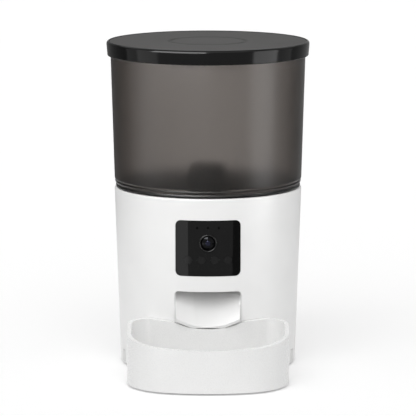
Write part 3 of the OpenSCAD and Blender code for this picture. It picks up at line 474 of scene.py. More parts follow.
SATIN_WHITE = Moulded("satin_white", (0.86, 0.86, 0.855), 0.38)
BOWL_WHITE = Moulded("bowl_white", (0.82, 0.82, 0.815), 0.28)
# Same white plastic as the shell, made darker as painted shade for the chute's recessed trough.
SHADED_SCOOP_WHITE = Moulded("scoop_white_painted_shade", (0.75, 0.75, 0.745), 0.3, drift=0.01, drift_size=60.0, grain_size=0.5)
INNER_WHITE = Moulded("inner_white", (0.74, 0.74, 0.73), 0.5, grain_depth=0.008)
GLOSS_RIM = Moulded("gloss_black_rim", (0.003, 0.003, 0.003), 0.12, grain_depth=0.0005, specular=0.13)
GLOSS_PANEL = Moulded("gloss_black_panel", (0.004, 0.004, 0.004), 0.03, grain_depth=0.0002, specular=0.13)
BUTTON_BLACK = Moulded("button_black", (0.006, 0.006, 0.006), 0.18, grain_depth=0.001, specular=0.16)
BEZEL_BLACK = Moulded("bezel_black", (0.004, 0.004, 0.004), 0.16, grain_depth=0.0005, specular=0.25)
MATTE_INLAY = Moulded("matte_inlay", (0.066, 0.065, 0.064), 0.75, drift=0.04, grain_size=0.5,
                      grain_depth=0.02, specular=0.12)
INNER_BLACK = Moulded("inner_black", (0.02, 0.02, 0.019), 0.5, grain_depth=0.01, specular=0.12)
FUNNEL_GREY = Moulded("funnel_grey", (0.07, 0.068, 0.065), 0.5, grain_depth=0.01, specular=0.12)
BLADE_RUBBER = Moulded("blade_rubber", (0.035, 0.035, 0.036), 0.75, drift=0.06, grain_depth=0.015)
FOOT_RUBBER = Moulded("foot_rubber", (0.05, 0.05, 0.05), 0.8, drift=0.06, grain_depth=0.02)
SEAL_RUBBER = Moulded("seal_rubber", (0.16, 0.16, 0.16), 0.7, drift=0.04, grain_depth=0.01)
COMPONENT_BLACK = Moulded("component_black", (0.02, 0.02, 0.021), 0.55, grain_size=0.4, grain_depth=0.02)
SENSOR_BLACK = Moulded("sensor_black", (0.002, 0.002, 0.002), 0.1, grain_depth=0.0003, specular=0.05)
GEAR_PLASTIC = Moulded("ivory_gear", (0.70, 0.67, 0.58), 0.45, drift=0.03, grain_depth=0.006)
SMOKY_TUB = Smoky("smoky_tub", (0.136, 0.084, 0.046), 462.0, 0.3, 1.26)
STEEL = Metal("bright_steel", (0.60, 0.60, 0.61), 0.3)
BRONZE = Metal("sintered_bronze", (0.62, 0.43, 0.2), 0.38)
MOTOR_STEEL = Metal("motor_steel", (0.52, 0.52, 0.53), 0.34, lines=(1.0, 1.0, 0.08))
BOARD_GREEN = Laminate("solder_mask", (0.012, 0.11, 0.045), (0.05, 0.2, 0.07))
CELL_SLEEVE = Sleeve("cell_film", (0.03, 0.03, 0.032), (0.62, 0.3, 0.06), 20.0)
LENS_GLASS = Glass("coated_lens", (0.002, 0.002, 0.002), (0.92, 0.94, 1.0), 1.2)
LENS_CORE = Glass("lens_core", (0.001, 0.001, 0.003), (0.6, 0.62, 1.0), 1.4)


def mesh_of(bm: BMesh, name: str) -> Mesh:
    """Mesh data made of a bmesh.

    Args:
        bm: Shape of the mesh; it is used up.
        name: Name of the mesh.

    Returns:
        The new mesh.
    """
    mesh = bpy.data.meshes.new(name)
    bm.to_mesh(mesh)
    bm.free()
    return mesh


def in_scene(data: ID, name: str) -> Object:
    """New object in the scene.

    Args:
        data: Mesh, light or camera that it shows.
        name: Name of the object.

    Returns:
        The new object.
    """
    made = bpy.data.objects.new(name, data)
    bpy.context.scene.collection.objects.link(made)
    return made


def tidied(bm: BMesh) -> BMesh:
    """Merges doubles and turns the faces outwards.

    Args:
        bm: Mesh to work on.

    Returns:
        The same mesh.
    """
    bmesh.ops.remove_doubles(bm, verts=bm.verts[:], dist=MERGE_DISTANCE)
    bmesh.ops.recalc_face_normals(bm, faces=bm.faces[:])
    return bm


def sharp_edges(bm: BMesh, wanted: Callable[[Vector], bool], angle: float = 35.0) -> list[BMEdge]:
    """Edges that are sharper than an angle and whose two ends are wanted.

    Args:
        bm: Mesh to look at.
        wanted: Test of a point in millimetres.
        angle: Least angle between the faces, in degrees.

    Returns:
        The edges found.
    """
    limit = math.radians(angle)
    return [edge for edge in bm.edges
            if len(edge.link_faces) == 2 and edge.calc_face_angle(0.0) > limit
            and all(wanted(vert.co / MM) for vert in edge.verts)]


def soften(bm: BMesh, geom: Sequence[BMEdge | BMVert], width: float, segments: int = 3,
           ease: Ease = Ease.EDGES) -> None:
    """Rounds edges, or the corners of a flat shape.

    Args:
        bm: Mesh to work on.
        geom: Edges or vertices to round.
        width: Width of the rounding from the edge or corner, in millimetres.
        segments: Number of facets across it.
        ease: Whether edges or corners are rounded.
    """
    bmesh.ops.bevel(bm, geom=list(geom), offset=width * MM, offset_type="OFFSET", segments=segments,
                    profile=0.5, affect=ease.value, material=-1, clamp_overlap=True, loop_slide=True)


def spun(bm: BMesh, steps: int) -> BMesh:
    """Spins a profile a full turn about the vertical axis.

    Args:
        bm: Mesh of the profile.
        steps: Number of steps round the axis.

    Returns:
        The same mesh, closed.
    """
    bmesh.ops.spin(bm, geom=bm.verts[:] + bm.edges[:], cent=ORIGIN, axis=UP, dvec=ORIGIN,
                   angle=FULL_TURN, steps=steps, use_merge=True)
    return tidied(bm)


def turned(corners: Sequence[Corner], steps: int = 192, span: float = 30.0) -> BMesh:
    """Turns a profile about the tower's axis into a closed solid.

    Args:
        corners: Corners of the profile; it starts and ends on the axis, or closes on itself.
        steps: Number of steps round the axis.
        span: Longest stretch of the profile that stays whole, in millimetres.

    Returns:
        Mesh of the solid.
    """
    bm = bmesh.new()
    verts = [bm.verts.new(mm(c.r, 0, c.z)) for c in corners]
    ends = verts[1:] if corners[0].r == 0 else verts[1:] + verts[:1]
    for first, last in zip(verts, ends):
        bm.edges.new((first, last))
    for corner, vert in zip(corners, verts):
        if corner.round:
            soften(bm, [vert], corner.round, segments=5, ease=Ease.CORNERS)
    for edge in list(bm.edges):
        cuts = int(edge.calc_length() / (span * MM))
        if cuts:
            bmesh.ops.subdivide_edges(bm, edges=[edge], cuts=cuts)
    return spun(bm, steps)


def raised(bm: BMesh, move: Vector) -> BMesh:
    """Extrudes a flat face into a closed block.

    Args:
        bm: Mesh of the face.
        move: Way to the block's far side, in metres.

    Returns:
        The same mesh, closed.
    """
    grown = bmesh.ops.extrude_face_region(bm, geom=bm.faces[:])
    far = [item for item in grown["geom"] if isinstance(item, BMVert)]
    bmesh.ops.translate(bm, vec=move, verts=far)
    return tidied(bm)


def block(outline: Iterable[Vector], move: Vector) -> BMesh:
    """Closed block between a flat outline and its moved copy.

    Args:
        outline: Points of the outline, in metres.
        move: Way to the block's far side, in metres.

    Returns:
        Mesh of the block.
    """
    bm = bmesh.new()
    bm.faces.new([bm.verts.new(point) for point in outline])
    return raised(bm, move)


def prism(outline: Sequence[Vector], low: float, high: float) -> BMesh:
    """Block over an outline in plan, between two heights, in millimetres."""
    return block([mm(point.x, point.y, low) for point in outline], mm(0, 0, high - low))


def rounded_bar(width: float, height: float, corner: float, length: float) -> BMesh:
    """Bar with a rounded rectangular section, from the middle of its base along +Z.

    Args:
        width: Size along X, in millimetres.
        height: Size along Y, in millimetres.
        corner: Radius of its four long edges.
        length: Length along Z.

    Returns:
        Mesh of the bar.
    """
    bm = bmesh.new()
    bmesh.ops.create_grid(bm, x_segments=1, y_segments=1, size=0.5)
    bmesh.ops.scale(bm, vec=mm(width, height, 1), verts=bm.verts[:])
    if corner:
        soften(bm, bm.verts[:], corner, segments=8, ease=Ease.CORNERS)
    return raised(bm, mm(0, 0, length))


def peg(radius: float, length: float, segments: int = 48) -> BMesh:
    """Round cutter from the origin along +Z.

    Args:
        radius: Radius in millimetres.
        length: Length in millimetres.
        segments: Number of facets round it.

    Returns:
        Mesh of the cutter.
    """
    bm = bmesh.new()
    bmesh.ops.create_cone(bm, cap_ends=True, segments=segments, radius1=radius * MM, radius2=radius * MM,
                          depth=length * MM, matrix=at(0, 0, length / 2))
    return bm


def moved(bm: BMesh, *moves: Matrix) -> BMesh:
    """Mesh after some moves.

    Args:
        bm: Mesh to move.
        moves: Moves, of which the last is made first.

    Returns:
        The same mesh.
    """
    for move in reversed(moves):
        bm.transform(move)
    return bm


def slab(width: float, reach: float) -> BMesh:
    """Upright slab across the middle of the front, in millimetres."""
    return moved(rounded_bar(width, reach, 0, reach), at(0, reach / 2, 0), FRONT)


def gathered(parts: Iterable[BMesh]) -> BMesh:
    """One mesh that holds several separate ones.

    Args:
        parts: Meshes to gather; they are used up.

    Returns:
        The new mesh.
    """
    whole = bmesh.new()
    for part in parts:
        mesh = mesh_of(part, "part")
        whole.from_mesh(mesh)
        bpy.data.meshes.remove(mesh)
    return whole


def combined(bm: BMesh, tool: BMesh, way: Cut) -> BMesh:
    """Carves, trims or joins a closed mesh with another.

    Args:
        bm: Mesh to work on; it is used up.
        tool: Mesh to work with; it is used up.
        way: How the two are combined.

    Returns:
        The combined mesh.
    """
    work, cutter = (in_scene(mesh_of(part, "passing"), "passing") for part in (bm, tool))
    step = work.modifiers.new("step", "BOOLEAN")
    step.operation = way.value
    step.solver = "EXACT"
    step.object = cutter
    result = bpy.data.meshes.new_from_object(work.evaluated_get(bpy.context.evaluated_depsgraph_get()))
    made = bmesh.new()
    made.from_mesh(result)
    for mesh in (work.data, cutter.data, result):
        bpy.data.meshes.remove(mesh)
    bmesh.ops.remove_doubles(made, verts=made.verts[:], dist=MERGE_DISTANCE)
    return made


def solid_copy(node: str) -> BMesh:
    """Mesh of a CAD node with its flat faces whole.

    Args:
        node: Name of the node.

    Returns:
        Merged copy of the node's mesh.
    """
    bm = bmesh.new()
    bm.from_mesh(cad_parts[node].data)
    bmesh.ops.remove_doubles(bm, verts=bm.verts[:], dist=MERGE_DISTANCE)
    bmesh.ops.dissolve_limit(bm, angle_limit=math.radians(FLAT_ANGLE), verts=bm.verts[:], edges=bm.edges[:])
    bmesh.ops.recalc_face_normals(bm, faces=bm.faces[:])
    return bm


def arc(centre: Vector, radius: float, start: float, end: float, steps: int) -> list[Vector]:
    """Points along an arc in plan.

    Args:
        centre: Middle of the arc, in millimetres.
        radius: Radius of the arc.
        start: First angle, in radians.
        end: Last angle; the arc runs backwards where it is the smaller one.
        steps: Number of steps.

    Returns:
        Points from the first angle to the last.
    """
    angles = [start + (end - start) * step / steps for step in range(steps + 1)]
    return [centre + Vector((math.cos(angle), math.sin(angle))) * radius for angle in angles]


def heading(vector: Vector) -> float:
    """Angle of a direction in plan."""
    return math.atan2(vector.y, vector.x)


def mirrored(half: Sequence[Vector]) -> list[Vector]:
    """Closed outline from its right half, which runs from the front to the rear."""
    return [*half, *(Vector((-point.x, point.y)) for point in reversed(half) if point.x > MERGE_DISTANCE)]


@dataclass(frozen=True)
class Piece:
    """What a new piece is called, what it rides on and what it stands for."""

    name: str
    body: str
    finish: Finish
    slot: Slot
    replaces: tuple[str, ...] = ()


def placed(bm: BMesh, piece: Piece) -> None:
    """Makes a mesh an object of the scene and puts it on its body.

    Args:
        bm: Finished mesh, in place; it is used up.
        piece: Name, body and finish of the piece.
    """
    mesh = mesh_of(bm, piece.name)
    mesh.shade_smooth()
    mesh.set_sharp_from_angle(angle=math.radians(SHARP_ANGLE))
    mesh.materials.append(piece.finish.material())
    made = in_scene(mesh, piece.name)
    weigh = made.modifiers.new("weighted_normals", "WEIGHTED_NORMAL")
    weigh.mode = "FACE_AREA"
    weigh.keep_sharp = True
    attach(made, piece.body)
    if piece.replaces:
        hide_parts(*piece.replaces)
    LOG.info("%s: %d faces on %s", piece.name, len(mesh.polygons), piece.body)


@dataclass
class Tower:
    """White tower with its openings, and the ring that it stands on."""

    skin: Skin = Skin()
    lip_r: float = 92.5
    lip_h: float = 4.0
    lip_round: float = 0.6
    ledge_z: float = 169.5
    ledge_r: float = 85.18
    ledge_t: float = 2.5
    rim_round: float = 1.9
    foot_round: float = 1.4
    window: Opening = Opening(66.5, 58.0, 5.6, 134.0)
    window_round: float = 0.5
    mouth: Opening = Opening(68.4, 41.1, 4.4, 68.35)
    mouth_round: float = 0.8
    sill_z: float = 58.0
    slot_x: float = 40.0
    slot_size: Pair = (12.6, 4.6)
    slot_z: float = 22.0
    tab_angle: float = 73.0
    tab_size: Pair = (9.0, 15.5)
    tab_inset: float = 6.0
    tab_depth: float = 20.0
    tab_drop: float = 1.0
    grille_z: float = 78.0
    grille_pitch: float = 5.0
    grille_rings: int = 3
    grille_spokes: int = 6
    grille_hole_r: float = 1.2
    inlet: tuple[float, float, float] = (9.6, 3.8, 1.6)
    inlet_z: float = 17.0
    reach: float = 140.0
    foot_r: Pair = (78.6, 84.6)
    tread_round: float = 0.7
    skin_slack: float = 0.1
    edge_slack: float = 0.5

    def build(self) -> None:
        """Builds the shell and its foot."""
        placed(self.shell(), Piece("tower_shell", "base", SATIN_WHITE, Slot.WHITE_SHELL, ("body_shell",)))
        placed(self.foot(), Piece("tower_foot", "base", FOOT_RUBBER, Slot.RUBBER, ("foot_ring",)))

    def shell(self) -> BMesh:
        """Turned shell with its openings cut and their edges rounded.

        Returns:
            Mesh of the shell.
        """
        skin, rim = self.skin, self.skin.rim_z
        low = self.ledge_z - self.ledge_t
        bm = turned([
            Corner(skin.radius(skin.base_z, skin.wall), skin.base_z),
            Corner(skin.radius(skin.base_z), skin.base_z, self.foot_round),
            Corner(skin.radius(rim), rim, self.rim_round),
            Corner(self.lip_r, rim, self.lip_round),
            Corner(self.lip_r, rim - self.lip_h),
            Corner(skin.radius(rim - self.lip_h, skin.wall), rim - self.lip_h),
            Corner(skin.radius(self.ledge_z, skin.wall), self.ledge_z),
            Corner(self.ledge_r, self.ledge_z),
            Corner(self.ledge_r, low),
            Corner(skin.radius(low, skin.wall), low)], steps=240, span=12)
        bm = combined(bm, gathered([*self.front_cutters(), *self.rear_cutters()]), Cut.CARVE)
        above_sill = sharp_edges(bm, lambda p: self.near(p, self.mouth) and p.z > self.sill_z)
        soften(bm, above_sill, self.mouth_round, segments=4)
        soften(bm, sharp_edges(bm, lambda p: self.near(p, self.window)), self.window_round)
        return bm

    def near(self, point: Vector, hole: Opening) -> bool:
        """Whether a point lies on the skin at the edge of a front opening."""
        return (self.skin.off(point) < self.skin_slack and point.y < 0
                and abs(point.x) < hole.width / 2 + self.edge_slack
                and abs(point.z - hole.middle) < hole.height / 2 + self.edge_slack)

    def front_cutters(self) -> list[BMesh]:
        """Cutters for the panel's window, the chute's mouth, the bowl's hooks and the snap tabs.

        Returns:
            One mesh for each opening.
        """
        cutters = [moved(rounded_bar(hole.width, hole.height, hole.corner, self.reach),
                         at(0, 0, hole.middle), FRONT) for hole in (self.window, self.mouth)]
        width, height = self.tab_size
        start = self.skin.radius(self.skin.base_z, self.tab_inset)
        tab = at(0, -start, self.skin.base_z + height / 2 - self.tab_drop)
        for side in SIDES:
            cutters.append(moved(rounded_bar(*self.slot_size, 0, self.reach),
                                 at(side * self.slot_x, 0, self.slot_z), FRONT))
            turn = Matrix.Rotation(math.radians(side * self.tab_angle), 4, "Z")
            cutters.append(moved(rounded_bar(width, height, 0, self.tab_depth), turn, tab, FRONT))
        return cutters

    def rear_cutters(self) -> list[BMesh]:
        """Cutters for the speaker's grille and the power inlet.

        Returns:
            One mesh for each hole.
        """
        places = [(0.0, 0.0)]
        for ring in range(1, self.grille_rings + 1):
            count = self.grille_spokes * ring
            for step in range(count):
                angle = FULL_TURN * step / count
                places.append(tuple(ring * self.grille_pitch * f(angle) for f in (math.cos, math.sin)))
        cutters = [moved(peg(self.grille_hole_r, self.reach, segments=20), at(x, 0, self.grille_z + z), REAR)
                   for x, z in places]
        cutters.append(moved(rounded_bar(*self.inlet, self.reach), at(0, 0, self.inlet_z), REAR))
        return cutters

    def foot(self) -> BMesh:
        """Rubber ring with a rounded tread.

        Returns:
            Mesh of the ring.
        """
        inner, outer = self.foot_r
        top = self.skin.base_z
        return turned([Corner(inner, top), Corner(outer, top), Corner(outer, 0, self.tread_round),
                       Corner(inner, 0, self.tread_round)])


@dataclass
class Hopper:
    """Smoky tub with its collar, sloped step and spigot."""

    wall: float = 2.4
    rim_z: float = 185.0
    spigot: Pair = (92.2, 178.0)
    spigot_round: float = 0.6
    collar: Pair = (95.1, 189.3)
    collar_round: float = 0.5
    neck_round: float = 0.4
    step: Pair = (97.25, 194.0)
    step_rounds: Pair = (1.0, 1.6)
    top: Pair = (101.2, 329.0)
    top_round: float = 0.8
    ledge: Pair = (86.1, 187.0)
    ledge_round: float = 0.5
    beads: tuple[Pair, ...] = ((95.1, 187.0), (95.9, 191.3))
    bead_height: float = 0.95
    bead_half: float = 1.45
    bead_round: float = 0.3

    def build(self) -> None:
        """Builds the tub."""
        placed(self.tub(), Piece("smoky_hopper", "hopper", SMOKY_TUB, Slot.SMOKY, ("hopper_tub",)))

    def tub(self) -> BMesh:
        """Turned tub with rounded edges.

        Returns:
            Mesh of the tub.
        """
        (spigot_r, spigot_z), (collar_r, collar_z) = self.spigot, self.collar
        (step_r, step_z), (top_r, top_z) = self.step, self.top
        ledge_r, ledge_z = self.ledge
        step_out, step_in = self.step_rounds
        low_bead, high_bead = (self.bead(r, z) for r, z in self.beads)
        return turned([
            Corner(spigot_r, spigot_z, self.spigot_round), Corner(spigot_r, self.rim_z),
            Corner(collar_r, self.rim_z, self.collar_round), *low_bead,
            Corner(collar_r, collar_z, self.neck_round), *high_bead,
            Corner(step_r, step_z, step_out), Corner(top_r, top_z, self.top_round),
            Corner(top_r - self.wall, top_z, self.top_round), Corner(step_r - self.wall, step_z, step_in),
            Corner(collar_r - self.wall, collar_z), Corner(collar_r - self.wall, ledge_z, self.ledge_round),
            Corner(ledge_r, ledge_z, self.ledge_round), Corner(ledge_r, self.rim_z),
            Corner(spigot_r - self.wall, self.rim_z),
            Corner(spigot_r - self.wall, spigot_z, self.spigot_round)])

    def bead(self, r: float, z: float) -> list[Corner]:
        """Corners of one bead.

        Args:
            r: Radius of the wall it stands on, in millimetres.
            z: Height of its middle.

        Returns:
            Its foot, crest and head, from below.
        """
        return [Corner(r, z - self.bead_half), Corner(r + self.bead_height, z, self.bead_round),
                Corner(r, z + self.bead_half)]


@dataclass
class Lid:
    """Gloss black lid with its matte inlay."""

    outer_r: float = 105.16
    draft: float = 0.9
    wall: float = 2.2
    skirt_z: float = 322.0
    skirt_rounds: Pair = (0.7, 0.9)
    plate_z: Pair = (331.0, 334.0)
    plate_round: float = 0.8
    top_z: float = 337.0
    rim_h: float = 4.0
    rim_dip: float = 0.05
    rim_round: float = 2.6
    inlay_r: float = 102.2
    inlay_gap: float = 0.3
    inlay_top: float = 336.5
    inlay_round: float = 0.3
    groove_r: float = 39.5
    groove_half: float = 3.0
    groove_depth: float = 1.8
    groove_round: float = 0.8

    def build(self) -> None:
        """Builds the shell and the inlay."""
        placed(self.shell(), Piece("lid_rim", "lid", GLOSS_RIM, Slot.GLOSS_BLACK, ("lid_shell",)))
        placed(self.inlay(), Piece("lid_top", "lid", MATTE_INLAY, Slot.INLAY_GREY, ("lid_inlay",)))

    def shell(self) -> BMesh:
        """Turned shell with a rounded rim.

        Returns:
            Mesh of the shell.
        """
        under, over = self.plate_z
        skirt_in, skirt_out = self.skirt_rounds
        skirt_r = self.outer_r - self.draft
        seat_r = self.inlay_r + self.inlay_gap
        return turned([
            Corner(0, under), Corner(skirt_r - self.wall, under, self.plate_round),
            Corner(skirt_r - self.wall, self.skirt_z, skirt_in), Corner(skirt_r, self.skirt_z, skirt_out),
            Corner(self.outer_r, self.top_z - self.rim_h), Corner(self.outer_r, self.top_z, self.rim_round),
            Corner(seat_r, self.top_z - self.rim_dip), Corner(seat_r, over), Corner(0, over)])

    def inlay(self) -> BMesh:
        """Turned inlay with a shallow ring groove.

        Returns:
            Mesh of the inlay.
        """
        base, top = self.plate_z[1], self.inlay_top
        middle, half = self.groove_r, self.groove_half
        return turned([
            Corner(0, base), Corner(self.inlay_r, base), Corner(self.inlay_r, top, self.inlay_round),
            Corner(middle + half, top, self.groove_round),
            Corner(middle, top - self.groove_depth, self.groove_round),
            Corner(middle - half, top, self.groove_round), Corner(0, top)])


@dataclass
class CameraPanel:
    """Gloss panel with the camera's lens, its sensor windows and four push buttons."""

    skin: Skin = Skin()
    width: float = 66.1
    height: float = 57.6
    corner: float = 5.4
    middle_z: float = 134.0
    band_half: float = 40.0
    inset: float = 0.15
    depth: float = 4.3
    edge_round: float = 0.7
    hole_round: float = 0.2
    hole_margin: float = 2.0
    lens_z: float = 139.5
    lens_r: float = 9.0
    lens_gap: float = 0.2
    bezel_stand: float = 0.9
    bezel_depth: float = 8.2
    bezel_land: float = 1.0
    bezel_dish: float = 1.3
    bezel_rounds: Pair = (0.7, 0.35)
    glass_r: float = 7.0
    glass_ball: float = 15.0
    glass_back: float = 0.6
    glass_wall: float = 0.3
    core_r: float = 2.6
    core_ball: float = 7.0
    core_back: float = 0.33
    dot_r: float = 1.2
    dot_z: float = 155.3
    dot_pitch: float = 11.0
    button_z: float = 121.9
    button_pitch: float = 13.5
    button_r: float = 4.25
    button_gap: float = 0.15
    button_stand: float = 0.15
    button_round: float = 0.4
    button_band: Pair = (110.0, 134.0)
    button_back: float = 82.0
    button_count: int = 4
    stem_r: float = 2.0
    stem_back: float = 78.0
    stem_reach: float = 120.0
    reach: float = 140.0
    skin_slack: float = 0.05

    def build(self) -> None:
        """Builds the panel, the lens and the buttons."""
        placed(self.plate(), Piece("camera_plate", "base", GLOSS_PANEL, Slot.GLOSS_BLACK, ("camera_panel",)))
        placed(self.bezel(), Piece("lens_bezel", "base", BEZEL_BLACK, Slot.GLOSS_BLACK, ("lens_ring",)))
        placed(self.dome(self.glass_r, self.glass_ball, self.glass_back),
               Piece("lens_dome", "base", LENS_GLASS, Slot.LENS_GLASS, ("lens_glass",)))
        placed(self.dome(self.core_r, self.core_ball, self.core_back),
               Piece("lens_core", "base", LENS_CORE, Slot.LENS_GLASS))
        for number in self.numbers():
            placed(self.button(number), Piece(f"push_button_{number}", f"button_{number}", BUTTON_BLACK,
                                              Slot.GLOSS_BLACK, (f"button_{number}",)))

    def numbers(self) -> range:
        """Numbers of the buttons, from the left."""
        return range(1, self.button_count + 1)

    def front(self) -> float:
        """Distance of the bezel's front from the tower's axis."""
        return self.skin.radius(self.lens_z) + self.bezel_stand

    def button_x(self, number: int) -> float:
        """Middle of a button across the panel."""
        return (number - (self.button_count + 1) / 2) * self.button_pitch

    def layer(self, low: float, high: float) -> BMesh:
        """Ring of the panel's thickness along the skin.

        Args:
            low: Height of its foot, in millimetres.
            high: Height of its head.

        Returns:
            Mesh of the ring.
        """
        radius, outer, inner = self.skin.radius, self.inset, self.depth
        return turned([Corner(radius(low, inner), low), Corner(radius(low, outer), low),
                       Corner(radius(high, outer), high), Corner(radius(high, inner), high)],
                      steps=288, span=5)

    def on_skin(self, point: Vector, inset: float) -> bool:
        """Whether a point lies on the front of the skin, drawn in by an inset."""
        return point.y < 0 and self.skin.off(point, inset) < self.skin_slack

    def inside(self, point: Vector) -> bool:
        """Whether a point lies well inside the panel's outline."""
        return (abs(point.x) < self.width / 2 - self.hole_margin
                and abs(point.z - self.middle_z) < self.height / 2 - self.hole_margin)

    def plate(self) -> BMesh:
        """Curved plate with its holes.

        Returns:
            Mesh of the plate.
        """
        bm = self.layer(self.middle_z - self.band_half, self.middle_z + self.band_half)
        outline = rounded_bar(self.width, self.height, self.corner, self.reach)
        bm = combined(bm, moved(outline, at(0, 0, self.middle_z), FRONT), Cut.TRIM)
        holes = [moved(peg(self.lens_r + self.lens_gap, self.reach, segments=72),
                       at(0, 0, self.lens_z), FRONT)]
        holes += [moved(peg(self.dot_r, self.reach, segments=24),
                        at(side * self.dot_pitch, 0, self.dot_z), FRONT) for side in (-1, 0, 1)]
        holes += [moved(peg(self.button_r + self.button_gap, self.reach),
                        at(self.button_x(number), 0, self.button_z), FRONT) for number in self.numbers()]
        bm = combined(bm, gathered(holes), Cut.CARVE)
        rim = sharp_edges(bm, lambda p: self.on_skin(p, self.inset) and not self.inside(p))
        soften(bm, rim, self.edge_round, segments=4)
        edges = sharp_edges(bm, lambda p: self.on_skin(p, self.inset) and self.inside(p))
        soften(bm, edges, self.hole_round, segments=2)
        return bm

    def bezel(self) -> BMesh:
        """Ring round the lens, dished towards the glass.

        Returns:
            Mesh of the ring.
        """
        front, back = self.front(), self.skin.radius(self.lens_z) - self.bezel_depth
        bore_r = self.glass_r + self.lens_gap
        edge_round, land_round = self.bezel_rounds
        bm = turned([
            Corner(bore_r, back), Corner(self.lens_r, back), Corner(self.lens_r, front, edge_round),
            Corner(self.lens_r - self.bezel_land, front, land_round),
            Corner(bore_r, front - self.bezel_dish)], steps=96)
        return moved(bm, at(0, 0, self.lens_z), FRONT)

    def dome(self, radius: float, ball: float, back: float) -> BMesh:
        """Thin curved lens.

        Args:
            radius: Radius of its edge, in millimetres.
            ball: Radius of its curve.
            back: How far its foremost point lies behind the bezel's front.

        Returns:
            Mesh of the lens.
        """
        bm = bmesh.new()
        rims: list[BMVert] = []
        for depth in (0.0, self.glass_wall):
            apex = self.front() - back - depth
            tip = bm.verts.new(mm(0, 0, apex))
            curve = bmesh.ops.spin(bm, geom=[tip], cent=mm(0, 0, apex - ball), axis=(0, 1, 0),
                                   dvec=ORIGIN, angle=math.asin(radius / ball), steps=12)
            rims.extend(curve["geom_last"])
        bm.edges.new(rims)
        return moved(spun(bm, steps=64), at(0, 0, self.lens_z), FRONT)

    def button(self, number: int) -> BMesh:
        """Push button whose face follows the panel.

        Args:
            number: Number of the button, from the left.

        Returns:
            Mesh of the button.
        """
        stem = turned([Corner(0, self.stem_back), Corner(self.stem_r, self.stem_back),
                       Corner(self.stem_r, self.button_back), Corner(self.button_r, self.button_back),
                       Corner(self.button_r, self.stem_reach), Corner(0, self.stem_reach)], steps=64)
        stem = moved(stem, at(self.button_x(number), 0, self.button_z), FRONT)
        low, high = self.button_band
        face = -self.button_stand
        keep = turned([Corner(0, low), Corner(self.skin.radius(low, face), low),
                       Corner(self.skin.radius(high, face), high), Corner(0, high)], steps=288, span=4)
        bm = combined(stem, keep, Cut.TRIM)
        soften(bm, sharp_edges(bm, lambda p: self.on_skin(p, face)), self.button_round)
        return bm


@dataclass
class Chute:
    """Feed chute, taken from its solid, set back beside the trough and eased at the lip."""

    skin: Skin = Skin()
    lip: Pair = (-97.417, 53.5)
    lip_y: float = -94.0
    lip_round: float = 0.7
    back_y: float = -33.0
    trough_r: float = 95.0
    trough_w: float = 66.1
    shaving: float = 0.04
    layer_t: float = 3.0
    set_back: Pair = (0.05, 3.1)
    cheek_z: Pair = (66.0, 93.0)
    cheek_reach: float = 110.0
    cheek_lap: float = 0.2

    def build(self) -> None:
        """Builds the chute."""
        placed(self.scoop(), Piece("feed_scoop", "base", SHADED_SCOOP_WHITE, Slot.WHITE_INNER, ("feed_chute",)))

    def scoop(self) -> BMesh:
        """Copy of the solid with a smooth trough, cheeks behind the wall and a rounded lip.

        Returns:
            Mesh of the chute.
        """
        bm = combined(solid_copy("feed_chute"), self.trough(), Cut.CARVE)
        bm = combined(bm, self.cheeks(), Cut.CARVE)
        soften(bm, sharp_edges(bm, lambda p: p.y < self.lip_y), self.lip_round)
        return bm

    def cheeks(self) -> BMesh:
        """Ring that goes deeper towards its top, left out across the trough.

        Returns:
            Mesh of the ring's two parts.
        """
        low, high = self.cheek_z
        foot, head = (self.skin.radius(z, inset) for z, inset in zip(self.cheek_z, self.set_back))
        ring = turned([Corner(foot, low), Corner(self.cheek_reach, low),
                       Corner(self.cheek_reach, high), Corner(head, high)], steps=288)
        return combined(ring, slab(self.trough_w - self.cheek_lap, 4 * self.cheek_reach), Cut.CARVE)

    def trough(self) -> BMesh:
        """Thin round layer that lies on the scoop and takes off a shaving.

        Returns:
            Mesh of the layer.
        """
        lip = Vector(self.lip)
        run = Vector((self.back_y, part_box("feed_chute")[1][2] / MM)) - lip
        slope = heading(run)
        length = 2 * run.length
        outer = peg(self.trough_r + self.shaving, length, segments=540)
        core = moved(peg(self.trough_r - self.layer_t, 2 * length, segments=180), at(0, 0, -length / 2))
        axis = lip + Vector((-math.sin(slope), math.cos(slope))) * self.trough_r - run / 2
        layer = moved(combined(outer, core, Cut.CARVE), at(0, axis.x, axis.y),
                      Matrix.Rotation(slope - math.pi / 2, 4, "X"))
        return combined(layer, slab(self.trough_w, 4 * length), Cut.TRIM)


